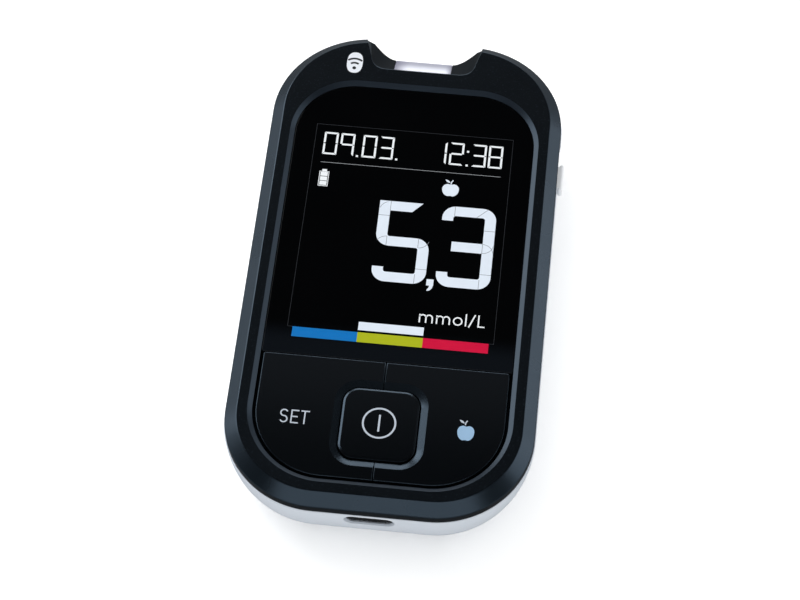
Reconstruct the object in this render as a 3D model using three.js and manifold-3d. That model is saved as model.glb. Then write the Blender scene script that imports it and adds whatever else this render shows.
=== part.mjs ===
// A hand-held blood glucose meter, in millimetres, +Z up.
// It lies on its back. The origin is the middle of the face that it rests on, +Y points to the strip port
// and +X to the right of someone who reads the display.
import * as THREE from "three";
import { mergeVertices } from "three/addons/utils/BufferGeometryUtils.js";
import Module from "manifold-3d";

const wasm = await Module();
wasm.setup();

// Casing outline and walls
const sideRoom = 17.1;
const farRoom = 41.5;
const farCornerRadius = 19.6;
const nearCornerRadius = 18.6;
const chamferWidth = 2.4;
const chamferDrop = 2.2;
const bandHeight = 1.7;
const wall = 1.6;
const shellProud = 0.2;
const bellyInset = 9.5;
const leastRadius = 0.2;

// Rim, inner bevel and lens pocket
const rimSide = 1.9;
const rimNear = 2.0;
const browWidth = 9.8;
const openingFarRadius = 13.0;
const openingNearRadius = 15.2;
const bevelWidth = 0.92;
const lensRecess = 0.7;
const coreWall = 1.4;
const deckThickness = 1.0;
const lensEdgeGap = 0.15;
const lensThickness = 1.2;
const lensRestGap = 0.3;

// Clearances
const fit = 0.3;
const stackGap = 0.1;
const snugGap = 0.2;
const looseGap = 0.25;
const overrun = 1;

// Display
const windowSideMargin = 4.28;
const windowFarMargin = 10.18;
const windowAboveKeys = 5.9;
const lcdMargin = 1.2;
const lcdThickness = 1.8;
const guideThickness = 1.0;
const frameWidth = 1.4;
const zebraWidth = 1.4;
const zebraShort = 3.0;
const frameBar = 1.0;
const ledLength = 3.0;
const ledDepth = 1.0;
const ledSpacing = 14.0;
const displayLedCount = 3;

// Keys
const keyLineFromNear = 31.0;
const keyOutlineGap = 0.6;
const keyEdge = 0.3;
const keyTravel = 0.4;
const keyFloorGap = 0.6;
const hairline = 0.16;
const powerHalfWidth = 7.3;
const powerHalfLength = 7.4;
const powerRadius = 3.1;
const powerFromNear = 17.6;
const powerEdge = 0.5;
const powerEdgeDrop = 0.45;
const recessMargin = 1.65;
const recessDrop = 0.65;
const stemRadius = 1.7;
const wingStemInset = 8.28;
const wingStemAhead = 2.5;
const legWidth = 1.6;
const legDepth = 1.0;
const barbReach = 0.5;
const barbHeight = 0.45;
const powerLegInset = 2.45;
const outerLegInset = 3.2;
const outerLegFromLine = 5.4;
const innerLegInset = 2.4;
const innerLegUp = 4.4;

// Snap domes
const domeRadius = 3.2;
const domeHeight = 0.55;
const domeSkin = 0.15;

// Main board and its parts
const boardThickness = 1.0;
const boardSideGap = 1.0;
const boardFarSetback = 10.2;
const boardFarRadius = 12.0;
const chipSide = 9.0;
const chipHeight = 1.0;
const chipBeforeArm = 3.0;
const analogSide = 5.0;
const analogGap = 6.75;
const radioSideGap = 1.35;
const radioLength = 14.0;
const radioHeight = 1.8;
const radioFlange = 1.0;
const radioFromLine = 24.6;
const crystalWidth = 3.2;
const crystalLength = 2.0;
const crystalHeight = 0.8;
const crystalGap = 3.0;
const buzzerRadius = 4.5;
const buzzerHeight = 2.5;
const buzzerHoleRadius = 0.9;
const buzzerHoleDepth = 1.0;
const buzzerFromLine = 12.6;
const portLedSide = 1.6;
const portLedHeight = 0.7;
const portLedX = 4.2;
const portLedEdgeGap = 0.2;

// Batteries and their bay
const cellDiameter = 10.5;
const cellLength = 44.5;
const nubRadius = 1.9;
const nubLength = 1.0;
const cellEdge = 0.4;
const cellPitchGap = 0.6;
const cellSideGap = 0.4;
const cellFloorGap = 0.5;
const roofGap = 0.3;
const bayRoof = 1.0;
const bayWall = 1.2;
const bayFromNear = 15.6;
const boardGap = 0.3;
const contactThickness = 0.4;
const contactSeat = 0.2;
const contactHalfWidth = 4.4;
const contactFoot = 1.4;
const tabHalfWidth = 1.5;
const contactCoilLength = 4.2;
const contactCoilRadius = 3.2;
const contactCoilTip = 1.9;
const contactWire = 0.3;
const contactTurns = 4;

// Battery door
const doorSink = 0.2;
const doorThickness = 1.4;
const doorGap = 0.2;
const doorSideLedge = 1.2;
const doorFarLedge = 1.8;
const doorLipTop = 4.6;
const tongueReach = 0.9;
const tongueThickness = 0.6;
const tongueDrop = 0.1;
const tongueEndInset = 1.0;
const gripHalfWidth = 5.0;
const gripWidth = 0.8;
const gripDepth = 0.35;
const gripPitch = 1.8;
const gripCount = 4;
const gripFromNear = 12.0;

// Case screws and bosses
const farScrewFromSpring = 4.6;
const farScrewSetback = 15.6;
const nearScrewWall = 0.6;
const nearScrewSetback = 12.6;
const upperBossRadius = 2.6;
const lowerBossWall = 1.0;
const bossJointHeight = 8.7;
const screwHeadRadius = 1.9;
const screwHeadHeight = 1.3;
const screwHeadGap = 0.4;
const screwShankRadius = 1.0;
const screwShankLength = 8.4;
const screwHoleGap = 0.12;
const headSeatHeight = 4.5;
const pilotSpare = 0.6;
const crossWidth = 0.5;
const crossLength = 2.0;
const crossDepth = 0.7;

// Board screws
const boardScrewFromConnector = 4.0;
const boardScrewFarSetback = 6.9;
const boardScrewNearInset = 1.5;
const boardScrewNearBelowLine = 1.9;
const boardBossRadius = 1.5;
const boardScrewHeadRadius = 1.4;
const boardScrewHeadHeight = 0.8;
const boardScrewShankRadius = 0.6;
const boardScrewSkin = 0.3;

// Finger notch at the strip port: its upper edge is the lip, its lower edge the foot
const notchLipSetback = 8.8;
const notchLipHalfWidth = 7.3;
const notchLipBend = 10.4;
const notchKneeHalfWidth = 10.8;
const notchKneeSetback = 5.8;
const notchTipHalfWidth = 11.9;
const notchTipSetback = 2.1;
const notchFootSetback = 3.7;
const notchFootHalfWidth = 6.3;
const notchFootBend = 8.6;
const notchFootEndHalfWidth = 12.0;
const notchFootEndOut = 0.9;

// Strip port, connector and contacts
const portHalfWidth = 5.9;
const portBackGap = 0.25;
const portBelowBoard = 3.6;
const slotHalfWidth = 3.7;
const channelHeight = 1.3;
const channelBelowBoard = 0.6;
const connectorHalfWidth = 5.5;
const connectorLength = 11.0;
const connectorFloor = 0.9;
const contactCount = 4;
const stripContactPitch = 1.5;
const stripContactWidth = 0.6;
const stripContactSlot = 0.8;
const stripContactThickness = 0.23;
const stripContactDip = 0.42;
const stripContactEndGap = 1.3;
const stripContactBendShare = 0.16;

// Eject slider and its spring
const slideTravel = 4.5;
const knobLength = 6.0;
const knobMiddleSetback = 28.6;
const knobProud = 1.0;
const knobHeight = 2.6;
const knobGap = 0.15;
const knobEdge = 0.4;
const neckShort = 0.5;
const neckBelowParting = 0.6;
const coverThickness = 0.45;
const armWidth = 2.5;
const armHeight = 1.1;
const prongHalfWidth = 1.5;
const pusherHeight = 0.6;
const springFromEdge = 5.0;
const springRadius = 1.0;
const springWire = 0.22;
const springTurns = 7;
const springLength = 9.8;
const springPadHalf = 1.4;
const springPadDrop = 1.2;
const springPostThickness = 1.2;

// Receptacle in the near end
const socketHalfWidth = 4.47;
const socketHalfHeight = 1.58;
const socketSkin = 0.3;
const socketLength = 8.6;
const socketBackWall = 0.5;
const socketSetback = 0.6;
const tongueHalfWidth = 3.3;
const tongueHalfHeight = 0.35;
const tongueSetback = 1.0;
const tongueBaseLength = 1.4;
const tongueBaseGap = 0.15;

// Blank plate on the back
const plateHalfWidth = 12.5;
const plateFromDoor = 4.5;
const plateFarMargin = 4.9;
const plateRadius = 1.5;
const plateThickness = 0.15;
const plateRecess = 0.25;
const plateEdgeGap = 0.2;

// How finely round shapes are divided
const cornerSteps = 10;
const bellySteps = 8;
const roundSteps = 24;
const smallRoundSteps = 16;
const bendSteps = 8;
const coilSteps = 8;
const coilSides = 5;
const weldDistance = 1e-4;

// Heights, from the face that it rests on
const doorTop = doorSink + doorThickness;
const seatLow = doorTop + doorGap;
const cellLow = doorTop + cellFloorGap;
const cellRadius = cellDiameter / 2;
const cellAxis = cellLow + cellRadius;
const roofLow = cellLow + cellDiameter + roofGap;
const roofTop = roofLow + bayRoof;
const boardLow = roofTop + boardGap;
const boardTop = boardLow + boardThickness;
const guideLow = boardTop + stackGap;
const guideTop = guideLow + guideThickness;
const lcdLow = guideTop + stackGap;
const lcdTop = lcdLow + lcdThickness;
const lensLow = lcdTop + lensRestGap;
const lensTop = lensLow + lensThickness;
const rimTop = lensTop + lensRecess;
const bandTop = rimTop - chamferDrop;
const parting = bandTop - bandHeight;
const deckLow = lcdLow;
const deckTop = deckLow + deckThickness;
const ledgeTop = lensLow - stackGap;
const keyLow = deckTop + keyFloorGap + keyTravel;
const domeTop = boardTop + stackGap + domeHeight;
const stemLow = domeTop + stackGap;
const roofUnder = rimTop - wall;

// The bay, and the case round it
const cellX = cellRadius + cellPitchGap / 2;
const bayHalfWidth = cellX + cellRadius + cellSideGap;
const bayLength = cellLength + contactCoilLength + 2 * (contactThickness + contactSeat + stackGap);
const caseHalfWidth = bayHalfWidth + bayWall + sideRoom;
const caseHalfLength = (bayFromNear + bayLength + farRoom) / 2;

// Outlines in plan
const caseOutline = {
  halfWidth: caseHalfWidth,
  low: -caseHalfLength,
  high: caseHalfLength,
  lowRadius: nearCornerRadius,
  highRadius: farCornerRadius,
};
const openingOutline = {
  halfWidth: caseHalfWidth - chamferWidth - rimSide,
  low: chamferWidth + rimNear - caseHalfLength,
  high: caseHalfLength - chamferWidth - browWidth,
  lowRadius: openingNearRadius,
  highRadius: openingFarRadius,
};
const pocketOutline = shrink(openingOutline, bevelWidth);
const boardOutline = {
  ...shrink(caseOutline, wall + boardSideGap - shellProud),
  high: caseHalfLength - boardFarSetback,
  highRadius: boardFarRadius,
};
const bellyBase = shrink(caseOutline, bellyInset - shellProud);

// Places in plan
const keyLine = keyLineFromNear - caseHalfLength;
const powerY = powerFromNear - caseHalfLength;
const windowLow = keyLine + windowAboveKeys;
const windowHigh = pocketOutline.high - windowFarMargin;
const windowHalfWidth = pocketOutline.halfWidth - windowSideMargin;
const lcdHalfWidth = windowHalfWidth + lcdMargin;
const lcdNear = windowLow - lcdMargin;
const lcdFar = windowHigh + lcdMargin;
const bayNear = bayFromNear - caseHalfLength;
const bayFar = bayNear + bayLength;
const doorHalfWidth = bayHalfWidth + doorSideLedge;
const doorFar = bayFar + doorFarLedge;
const sideX = (bayHalfWidth + bayWall + boardOutline.halfWidth) / 2;
const radioHalfWidth = boardOutline.halfWidth - sideX - radioFlange - radioSideGap;
const radioY = keyLine + radioFromLine;
const buzzerY = keyLine + buzzerFromLine;
const lipY = caseHalfLength - notchLipSetback;
const footY = caseHalfLength - notchFootSetback;
const portBack = lipY + portBackGap;
const channelTop = boardLow - channelBelowBoard;
const channelLow = channelTop - channelHeight;
const portLow = boardLow - portBelowBoard;
const connectorFar = portBack - fit;
const connectorNear = connectorFar - connectorLength;
const knobY = caseHalfLength - knobMiddleSetback;
const armFar = knobY + armWidth / 2;
const armNear = knobY - armWidth / 2;
const socketZ = boardLow;
const outerEndY = -(caseHalfLength + shellProud);
const socketNear = outerEndY + socketSetback;
const socketFar = socketNear + socketLength;
const springX = boardOutline.halfWidth - springFromEdge;
const farScrewX = springX - farScrewFromSpring;
const farScrewY = caseHalfLength - farScrewSetback;
const grooveHalfWidth = doorHalfWidth + tongueReach + fit;
const nearScrewX = grooveHalfWidth + nearScrewWall + screwHeadGap + screwHeadRadius;
const nearScrewY = nearScrewSetback - caseHalfLength;
const wingStemX = pocketOutline.halfWidth - wingStemInset;
const wingStemY = powerY + wingStemAhead;
const boardScrewFarX = connectorHalfWidth + boardScrewFromConnector;
const boardScrewFarY = boardOutline.high - boardScrewFarSetback;
const boardScrewNearX = pocketOutline.halfWidth - boardScrewNearInset;
const boardScrewNearY = keyLine - boardScrewNearBelowLine;
const far = caseHalfLength + chamferWidth + notchLipSetback;

// Materials
const finish = (color, roughness, metalness = 0) => {
  return new THREE.MeshStandardMaterial({ color, roughness, metalness });
};
const blackShell = finish(0x0f1114, 0.42);
const whiteShell = finish(0xe6e9ee, 0.38);
const blackLens = finish(0x050607, 0.06);
const keyBlack = finish(0x101215, 0.3);
const litWhite = finish(0xf4f6ff, 0.3);
const doorWhite = finish(0xe0e4ea, 0.42);
const glassGrey = finish(0x1b2228, 0.1);
const framePlastic = finish(0xd8dade, 0.5);
const guideClear = finish(0xeaf2f8, 0.15);
const zebraRubber = finish(0x2b2b2e, 0.85);
const ledBody = finish(0xf2e9a8, 0.4);
const boardGreen = finish(0x14573a, 0.5);
const steel = finish(0xc3c6ca, 0.28, 1);
const gold = finish(0xd7b45a, 0.3, 1);
const chipBlack = finish(0x17181a, 0.6);
const shieldTin = finish(0xb9bcbf, 0.35, 1);
const darkPlastic = finish(0x1d1e20, 0.55);
const cellSleeve = finish(0x3c4148, 0.35);
const plateGrey = finish(0xd3d6da, 0.55);

const meter = new THREE.Group();

// Small helpers for plan outlines
function shrink(plan, inset) {
  return {
    halfWidth: plan.halfWidth - inset,
    low: plan.low + inset,
    high: plan.high - inset,
    lowRadius: Math.max(plan.lowRadius - inset, leastRadius),
    highRadius: Math.max(plan.highRadius - inset, leastRadius),
  };
}

// The points of a rounded rectangle that is even about X = 0, counter-clockwise.
function points(plan, steps = cornerSteps) {
  const corners = [
    [1, plan.low, plan.lowRadius],
    [1, plan.high, plan.highRadius],
    [-1, plan.high, plan.highRadius],
    [-1, plan.low, plan.lowRadius],
  ];
  return corners.flatMap(([side, edge, radius], corner) => {
    const centreX = side * (plan.halfWidth - radius);
    const centreY = edge - Math.sign(edge - (plan.low + plan.high) / 2) * radius;
    return Array.from({ length: steps + 1 }, (_, i) => {
      const turn = ((corner - 1 + i / steps) * Math.PI) / 2;
      return new THREE.Vector2(centreX + radius * Math.cos(turn), centreY + radius * Math.sin(turn));
    });
  });
}

function centred(halfWidth, halfLength, radius, y = 0) {
  return { halfWidth, low: y - halfLength, high: y + halfLength, lowRadius: radius, highRadius: radius };
}

// Closed surface through rings of points, from the lowest ring to the highest.
function loft(rings) {
  const count = rings[0].plan.length;
  const positions = rings.flatMap(({ plan, z }) => plan.flatMap((p) => [p.x, p.y, z]));
  const index = [];
  for (let ring = 0; ring + 1 < rings.length; ring++) {
    for (let i = 0; i < count; i++) {
      const a = ring * count + i;
      const b = ring * count + ((i + 1) % count);
      index.push(a, b, b + count, a, b + count, a + count);
    }
  }
  const top = (rings.length - 1) * count;
  for (const [a, b, c] of THREE.ShapeUtils.triangulateShape(rings[0].plan, [])) index.push(a, c, b);
  for (const [a, b, c] of THREE.ShapeUtils.triangulateShape(rings.at(-1).plan, [])) {
    index.push(top + a, top + b, top + c);
  }
  const geometry = new THREE.BufferGeometry();
  geometry.setAttribute("position", new THREE.Float32BufferAttribute(positions, 3));
  geometry.setIndex(index);
  return solid(geometry);
}

// A three.js geometry as a solid that can be cut and joined.
function solid(geometry) {
  const bare = geometry.clone();
  bare.deleteAttribute("normal");
  bare.deleteAttribute("uv");
  const merged = mergeVertices(bare, weldDistance);
  return new wasm.Manifold(
    new wasm.Mesh({
      numProp: 3,
      vertProperties: Float32Array.from(merged.attributes.position.array),
      triVerts: Uint32Array.from(merged.index.array),
    }),
  );
}

function geometryOf(body) {
  const made = body.getMesh();
  const geometry = new THREE.BufferGeometry();
  geometry.setAttribute("position", new THREE.Float32BufferAttribute(made.vertProperties, 3));
  geometry.setIndex(new THREE.BufferAttribute(made.triVerts, 1));
  const flat = geometry.toNonIndexed();
  flat.computeVertexNormals();
  return flat;
}

// Adds a named piece to the meter, at a place of its own if it is modelled about its own middle.
function add(name, body, material, place = new THREE.Vector3()) {
  const mesh = new THREE.Mesh(geometryOf(body), material);
  mesh.name = name;
  mesh.position.copy(place);
  meter.add(mesh);
  return mesh;
}

function join(bodies) {
  return bodies.reduce((sum, body) => sum.add(body));
}

function cut(body, tools) {
  return tools.reduce((left, tool) => left.subtract(tool), body);
}

function slab(plan, low, high, steps) {
  const ring = points(plan, steps);
  return loft([
    { plan: ring, z: low },
    { plan: ring, z: high },
  ]);
}

function block([x0, x1], [y0, y1], [z0, z1]) {
  const geometry = new THREE.BoxGeometry(x1 - x0, y1 - y0, z1 - z0);
  geometry.translate((x0 + x1) / 2, (y0 + y1) / 2, (z0 + z1) / 2);
  return solid(geometry);
}

function post(x, y, radius, low, high, sides = roundSteps) {
  const geometry = new THREE.CylinderGeometry(radius, radius, high - low, sides);
  geometry.rotateX(Math.PI / 2);
  geometry.translate(x, y, (low + high) / 2);
  return solid(geometry);
}

function drawnOut(profile, depth) {
  return new THREE.ExtrudeGeometry(new THREE.Shape(profile), { depth, bevelEnabled: false });
}

// A profile in Y and Z, drawn out along X.
function barX(profile, x0, x1) {
  const geometry = drawnOut(profile, x1 - x0);
  const basis = new THREE.Matrix4().makeBasis(
    new THREE.Vector3(0, 1, 0),
    new THREE.Vector3(0, 0, 1),
    new THREE.Vector3(1, 0, 0),
  );
  geometry.applyMatrix4(basis);
  geometry.translate(x0, 0, 0);
  return solid(geometry);
}

// A profile in X and Z, drawn out along Y.
function barY(profile, y0, y1) {
  const geometry = drawnOut(profile, y1 - y0);
  geometry.rotateX(Math.PI / 2);
  geometry.translate(0, y1, 0);
  return solid(geometry);
}

// A stadium in X and Z about a height.
function stadium(halfWidth, halfHeight, z) {
  return points(centred(halfWidth, halfHeight, halfHeight * stadiumShare, z));
}
const stadiumShare = 0.98;

function lathe(profile, sides = smallRoundSteps) {
  const geometry = new THREE.LatheGeometry(profile.map(([r, z]) => new THREE.Vector2(r, z)), sides);
  geometry.rotateX(Math.PI / 2);
  return solid(geometry);
}

// Wire wound about Y, from radius a to radius b, starting at Y = 0.
class Coil extends THREE.Curve {
  constructor(a, b, length, turns) {
    super();
    Object.assign(this, { a, b, length, turns });
  }
  getPoint(t, target = new THREE.Vector3()) {
    const turn = t * this.turns * 2 * Math.PI;
    const radius = this.a + (this.b - this.a) * t;
    return target.set(radius * Math.cos(turn), t * this.length, radius * Math.sin(turn));
  }
}

function coil(a, b, length, turns, wire) {
  const section = new THREE.Shape(
    Array.from({ length: coilSides }, (_, i) => {
      const turn = (i / coilSides) * 2 * Math.PI;
      return new THREE.Vector2(wire * Math.cos(turn), wire * Math.sin(turn));
    }),
  );
  const extrudePath = new Coil(a, b, length, turns);
  const steps = turns * coilSteps;
  return solid(new THREE.ExtrudeGeometry(section, { steps, bevelEnabled: false, extrudePath }));
}

// The boat-shaped back, taken in on all sides by an inset, up to a height above the parting line.
function belly(inset, rise = 0) {
  const rings = [];
  for (let step = bellySteps; step >= 0; step--) {
    const turn = ((step / bellySteps) * Math.PI) / 2;
    const taper = bellyInset * (1 - Math.cos(turn));
    const plan = points(shrink(caseOutline, taper + inset - shellProud));
    rings.push({ plan, z: parting - (parting - inset) * Math.sin(turn) });
  }
  if (rise > 0) rings.push({ plan: rings.at(-1).plan, z: parting + rise });
  return loft(rings);
}

// The space of the finger notch. A wall round it is the same shape, grown outwards.
function notch(grow = 0) {
  const half = (flat, bend, knee, tip) => {
    const curve = new THREE.QuadraticBezierCurve(flat, bend, knee).getPoints(bendSteps);
    const out = tip.clone().sub(knee).setLength(far);
    return [...curve, tip, tip.clone().add(out)];
  };
  const lip = half(
    new THREE.Vector2(notchLipHalfWidth + grow, lipY - grow),
    new THREE.Vector2(notchLipBend + grow, lipY - grow),
    new THREE.Vector2(notchKneeHalfWidth + grow, caseHalfLength - notchKneeSetback),
    new THREE.Vector2(notchTipHalfWidth + grow, caseHalfLength - notchTipSetback),
  );
  const footEnd = new THREE.Vector2(notchFootEndHalfWidth + grow, caseHalfLength + notchFootEndOut);
  const foot = half(
    new THREE.Vector2(notchFootHalfWidth + grow, footY - grow),
    new THREE.Vector2(notchFootBend + grow, footY - grow),
    footEnd,
    footEnd.clone().add(new THREE.Vector2(overrun, overrun)),
  );
  const both = (side) => [...side, ...side.map((p) => new THREE.Vector2(-p.x, p.y)).reverse()];
  const lipPlan = both(lip);
  const footPlan = both(foot);
  return loft([
    { plan: footPlan, z: -overrun },
    { plan: footPlan, z: parting },
    { plan: lipPlan, z: rimTop },
    { plan: lipPlan, z: rimTop + overrun },
  ]);
}

// The height of the notch's ramp at a distance towards the far end
function rampHeight(y) {
  return rimTop - ((y - lipY) / (footY - lipY)) * (rimTop - parting);
}

const caseScrews = [
  [farScrewX, farScrewY],
  [-farScrewX, farScrewY],
  [nearScrewX, nearScrewY],
  [-nearScrewX, nearScrewY],
];
const boardScrews = [
  [boardScrewFarX, boardScrewFarY],
  [-boardScrewFarX, boardScrewFarY],
  [boardScrewNearX, boardScrewNearY],
  [-boardScrewNearX, boardScrewNearY],
];
const stems = { power: [0, powerY], set: [-wingStemX, wingStemY], meal: [wingStemX, wingStemY] };
const outerLeg = [pocketOutline.halfWidth - outerLegInset, keyLine - outerLegFromLine];
const innerLeg = [powerHalfWidth + recessMargin + innerLegInset, pocketOutline.low + innerLegUp];
const legs = {
  power: [
    [powerLegInset - powerHalfWidth, powerY],
    [powerHalfWidth - powerLegInset, powerY],
  ],
  set: [
    [-outerLeg[0], outerLeg[1]],
    [-innerLeg[0], innerLeg[1]],
  ],
  meal: [outerLeg, innerLeg],
};

function legBlock([x, y], grow, low, high) {
  const halfX = legWidth / 2 + grow;
  const halfY = legDepth / 2 + grow;
  return block([x - halfX, x + halfX], [y - halfY, y + halfY], [low, high]);
}

// Upper shell
function upperShell() {
  const outer = loft([
    { plan: points(caseOutline), z: parting },
    { plan: points(caseOutline), z: bandTop },
    { plan: points(shrink(caseOutline, chamferWidth)), z: rimTop },
  ]);
  const slope = chamferWidth / chamferDrop;
  const springLine = bandTop - wall / 2;
  const cavity = loft([
    { plan: points(shrink(caseOutline, wall)), z: parting - overrun },
    { plan: points(shrink(caseOutline, wall)), z: springLine },
    { plan: points(shrink(caseOutline, wall + (roofUnder - springLine) * slope)), z: roofUnder },
  ]);
  const core = slab(shrink(pocketOutline, -coreWall), deckLow, lensTop);
  const notchWall = outer.intersect(notch(wall));
  const caseBosses = caseScrews.map(([x, y]) => post(x, y, upperBossRadius, bossJointHeight + fit, deckTop));
  const boardBosses = boardScrews.map(([x, y]) =>
    post(x, y, boardBossRadius, boardTop + stackGap, deckTop, smallRoundSteps),
  );
  const body = join([cut(outer, [cavity]), core, notchWall, ...caseBosses, ...boardBosses]);

  const bevel = loft([
    { plan: points(pocketOutline), z: lensTop },
    { plan: points(openingOutline), z: rimTop },
    { plan: points(shrink(openingOutline, -bevelWidth)), z: rimTop + lensRecess },
  ]);
  const lensPocket = slab(pocketOutline, ledgeTop, lensTop + stackGap);
  const nearSide = block([-far, far], [-far, keyLine], [0, rimTop]);
  const keyPocket = slab(pocketOutline, deckTop, lensTop + stackGap).intersect(nearSide);
  const window = block(
    [-lcdHalfWidth - fit, lcdHalfWidth + fit],
    [lcdNear - fit, lcdFar + fit],
    [deckLow - overrun, lensTop],
  );
  const stemHoles = Object.values(stems).map(([x, y]) =>
    post(x, y, stemRadius + fit, deckLow - overrun, deckTop + overrun, smallRoundSteps),
  );
  const legHoles = Object.values(legs)
    .flat()
    .map((leg) => legBlock(leg, fit, deckLow - overrun, deckTop + overrun));
  const pilotTop = headSeatHeight + screwShankLength + pilotSpare;
  const pilots = caseScrews.map(([x, y]) =>
    post(x, y, screwShankRadius + screwHoleGap, 0, pilotTop, smallRoundSteps),
  );
  const boardPilots = boardScrews.map(([x, y]) =>
    post(x, y, boardScrewShankRadius + screwHoleGap, 0, deckTop - boardScrewSkin / 2, smallRoundSteps),
  );
  const portOpening = block(
    [-portHalfWidth - snugGap, portHalfWidth + snugGap],
    [lipY, far],
    [parting - overrun, rimTop + overrun],
  );
  return cut(body, [
    notch(),
    bevel,
    lensPocket,
    keyPocket,
    window,
    portOpening,
    ...stemHoles,
    ...legHoles,
    ...pilots,
    ...boardPilots,
  ]);
}

// Lower shell
function lowerShell() {
  const outer = belly(0);
  const nearPart = block(
    [-doorHalfWidth - tongueReach - bayWall, doorHalfWidth + tongueReach + bayWall],
    [-far, doorFar + bayWall],
    [-overrun, doorLipTop + fit + bayWall],
  );
  const doorSeat = cut(outer.intersect(nearPart), [belly(seatLow + wall)]);
  const bay = block(
    [-bayHalfWidth - bayWall, bayHalfWidth + bayWall],
    [bayNear - bayWall, bayFar + bayWall],
    [seatLow, roofTop],
  );
  const bosses = caseScrews.map(([x, y]) =>
    post(x, y, screwHeadRadius + screwHeadGap + lowerBossWall, 0, bossJointHeight).intersect(outer),
  );
  const springEnd = armFar + stackGap + springLength;
  const springPost = block(
    [springX - springPadHalf, springX + springPadHalf],
    [springEnd + stackGap, springEnd + stackGap + springPostThickness],
    [0, boardLow - fit],
  ).intersect(outer);
  const notchWall = outer.intersect(notch(wall));
  const body = join([cut(outer, [belly(wall, overrun)]), doorSeat, bay, ...bosses, springPost, notchWall]);

  const doorSpace = cut(belly(-overrun), [belly(seatLow)]).intersect(
    block([-doorHalfWidth - fit, doorHalfWidth + fit], [-far, doorFar + fit], [-far, doorLipTop + fit]),
  );
  const tongueTop = doorTop - tongueDrop;
  const groove = block(
    [-grooveHalfWidth, grooveHalfWidth],
    [-far, doorFar + fit],
    [tongueTop - tongueThickness - looseGap, seatLow],
  );
  const bayInside = block([-bayHalfWidth, bayHalfWidth], [bayNear, bayFar], [doorSink, roofLow]);
  const headWells = caseScrews.map(([x, y]) =>
    post(x, y, screwHeadRadius + screwHeadGap, -overrun, headSeatHeight, smallRoundSteps),
  );
  const shankHoles = caseScrews.map(([x, y]) =>
    post(x, y, screwShankRadius + screwHeadGap / 2, 0, bossJointHeight + overrun, smallRoundSteps),
  );
  const mouthOutline = stadium(socketHalfWidth + snugGap, socketHalfHeight + snugGap, socketZ);
  const mouth = barY(mouthOutline, -far, outerEndY + wall + overrun);
  const slideSlot = block(
    [caseHalfWidth - wall - fit, far],
    [knobY - knobLength / 2 + neckShort - fit, knobY + knobLength / 2 - neckShort + slideTravel + fit],
    [parting - neckBelowParting - knobHeight - looseGap, parting + overrun],
  );
  const portOpening = block(
    [-portHalfWidth - snugGap, portHalfWidth + snugGap],
    [portBack - fit, far],
    [portLow - snugGap, parting + overrun],
  );
  const plateSpace = slab(plate(plateEdgeGap), -overrun, plateRecess, bendSteps);
  const tabSlots = [-cellX, cellX].map((x) =>
    block(
      [x - tabHalfWidth - snugGap, x + tabHalfWidth + snugGap],
      [bayFar - contactSeat - contactThickness - snugGap, bayFar],
      [roofLow - stackGap, roofTop + overrun],
    ),
  );
  return cut(body, [
    notch(),
    doorSpace,
    groove,
    bayInside,
    mouth,
    slideSlot,
    portOpening,
    plateSpace,
    ...headWells,
    ...shankHoles,
    ...tabSlots,
  ]);
}

function plate(grow) {
  const low = doorFar + plateFromDoor;
  return {
    halfWidth: plateHalfWidth + grow,
    low: low - grow,
    high: bellyBase.high - plateFarMargin + grow,
    lowRadius: plateRadius + grow,
    highRadius: plateRadius + grow,
  };
}

// Battery door
function batteryDoor() {
  const skin = cut(belly(doorSink), [belly(doorTop)]).intersect(
    block([-doorHalfWidth, doorHalfWidth], [-far, doorFar], [-overrun, doorLipTop]),
  );
  const tongueTop = doorTop - tongueDrop;
  const tongues = [-1, 1].map((side) => {
    const inner = side * (doorHalfWidth - tongueReach);
    const outer = side * (doorHalfWidth + tongueReach);
    return block(
      [Math.min(inner, outer), Math.max(inner, outer)],
      [bellyBase.low + tongueEndInset, doorFar - tongueEndInset],
      [tongueTop - tongueThickness, tongueTop],
    );
  });
  const grips = Array.from({ length: gripCount }, (_, i) => {
    const y = gripFromNear - caseHalfLength + i * gripPitch;
    return block([-gripHalfWidth, gripHalfWidth], [y, y + gripWidth], [0, doorSink + gripDepth]);
  });
  return cut(join([skin, ...tongues]), grips);
}

// Keys
const powerPlan = centred(powerHalfWidth, powerHalfLength, powerRadius, powerY);

function keypad() {
  const plan = shrink(pocketOutline, keyOutlineGap);
  return loft([
    { plan: points(plan), z: keyLow },
    { plan: points(plan), z: lensTop - keyEdge },
    { plan: points(shrink(plan, keyEdge)), z: lensTop },
  ]);
}

function keyParts(key) {
  const [x, y] = stems[key];
  const stem = post(x, y, stemRadius, stemLow, keyLow + stackGap, smallRoundSteps);
  const hooks = legs[key].map(([legX, legY]) => {
    const barbTop = deckLow - stackGap;
    const leg = legBlock([legX, legY], 0, barbTop - barbHeight, keyLow + stackGap);
    const barb = block(
      [legX - legWidth / 2, legX + legWidth / 2],
      [legY - legDepth / 2, legY + legDepth / 2 + fit + barbReach],
      [barbTop - barbHeight, barbTop],
    );
    return leg.add(barb);
  });
  return [stem, ...hooks];
}

function wingKey(key, side) {
  const inner = hairline / 2;
  const half = block(
    side > 0 ? [inner, far] : [-far, -inner],
    [-far, keyLine - lensEdgeGap],
    [0, rimTop],
  );
  const recess = shrink(powerPlan, -recessMargin);
  const throat = shrink(powerPlan, -looseGap);
  const hole = loft([
    { plan: points(throat), z: keyLow - overrun },
    { plan: points(throat), z: lensTop - recessDrop },
    { plan: points(recess), z: lensTop },
    { plan: points(shrink(recess, -recessMargin)), z: lensTop + recessDrop },
  ]);
  return join([cut(keypad().intersect(half), [hole]), ...keyParts(key)]);
}

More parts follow.
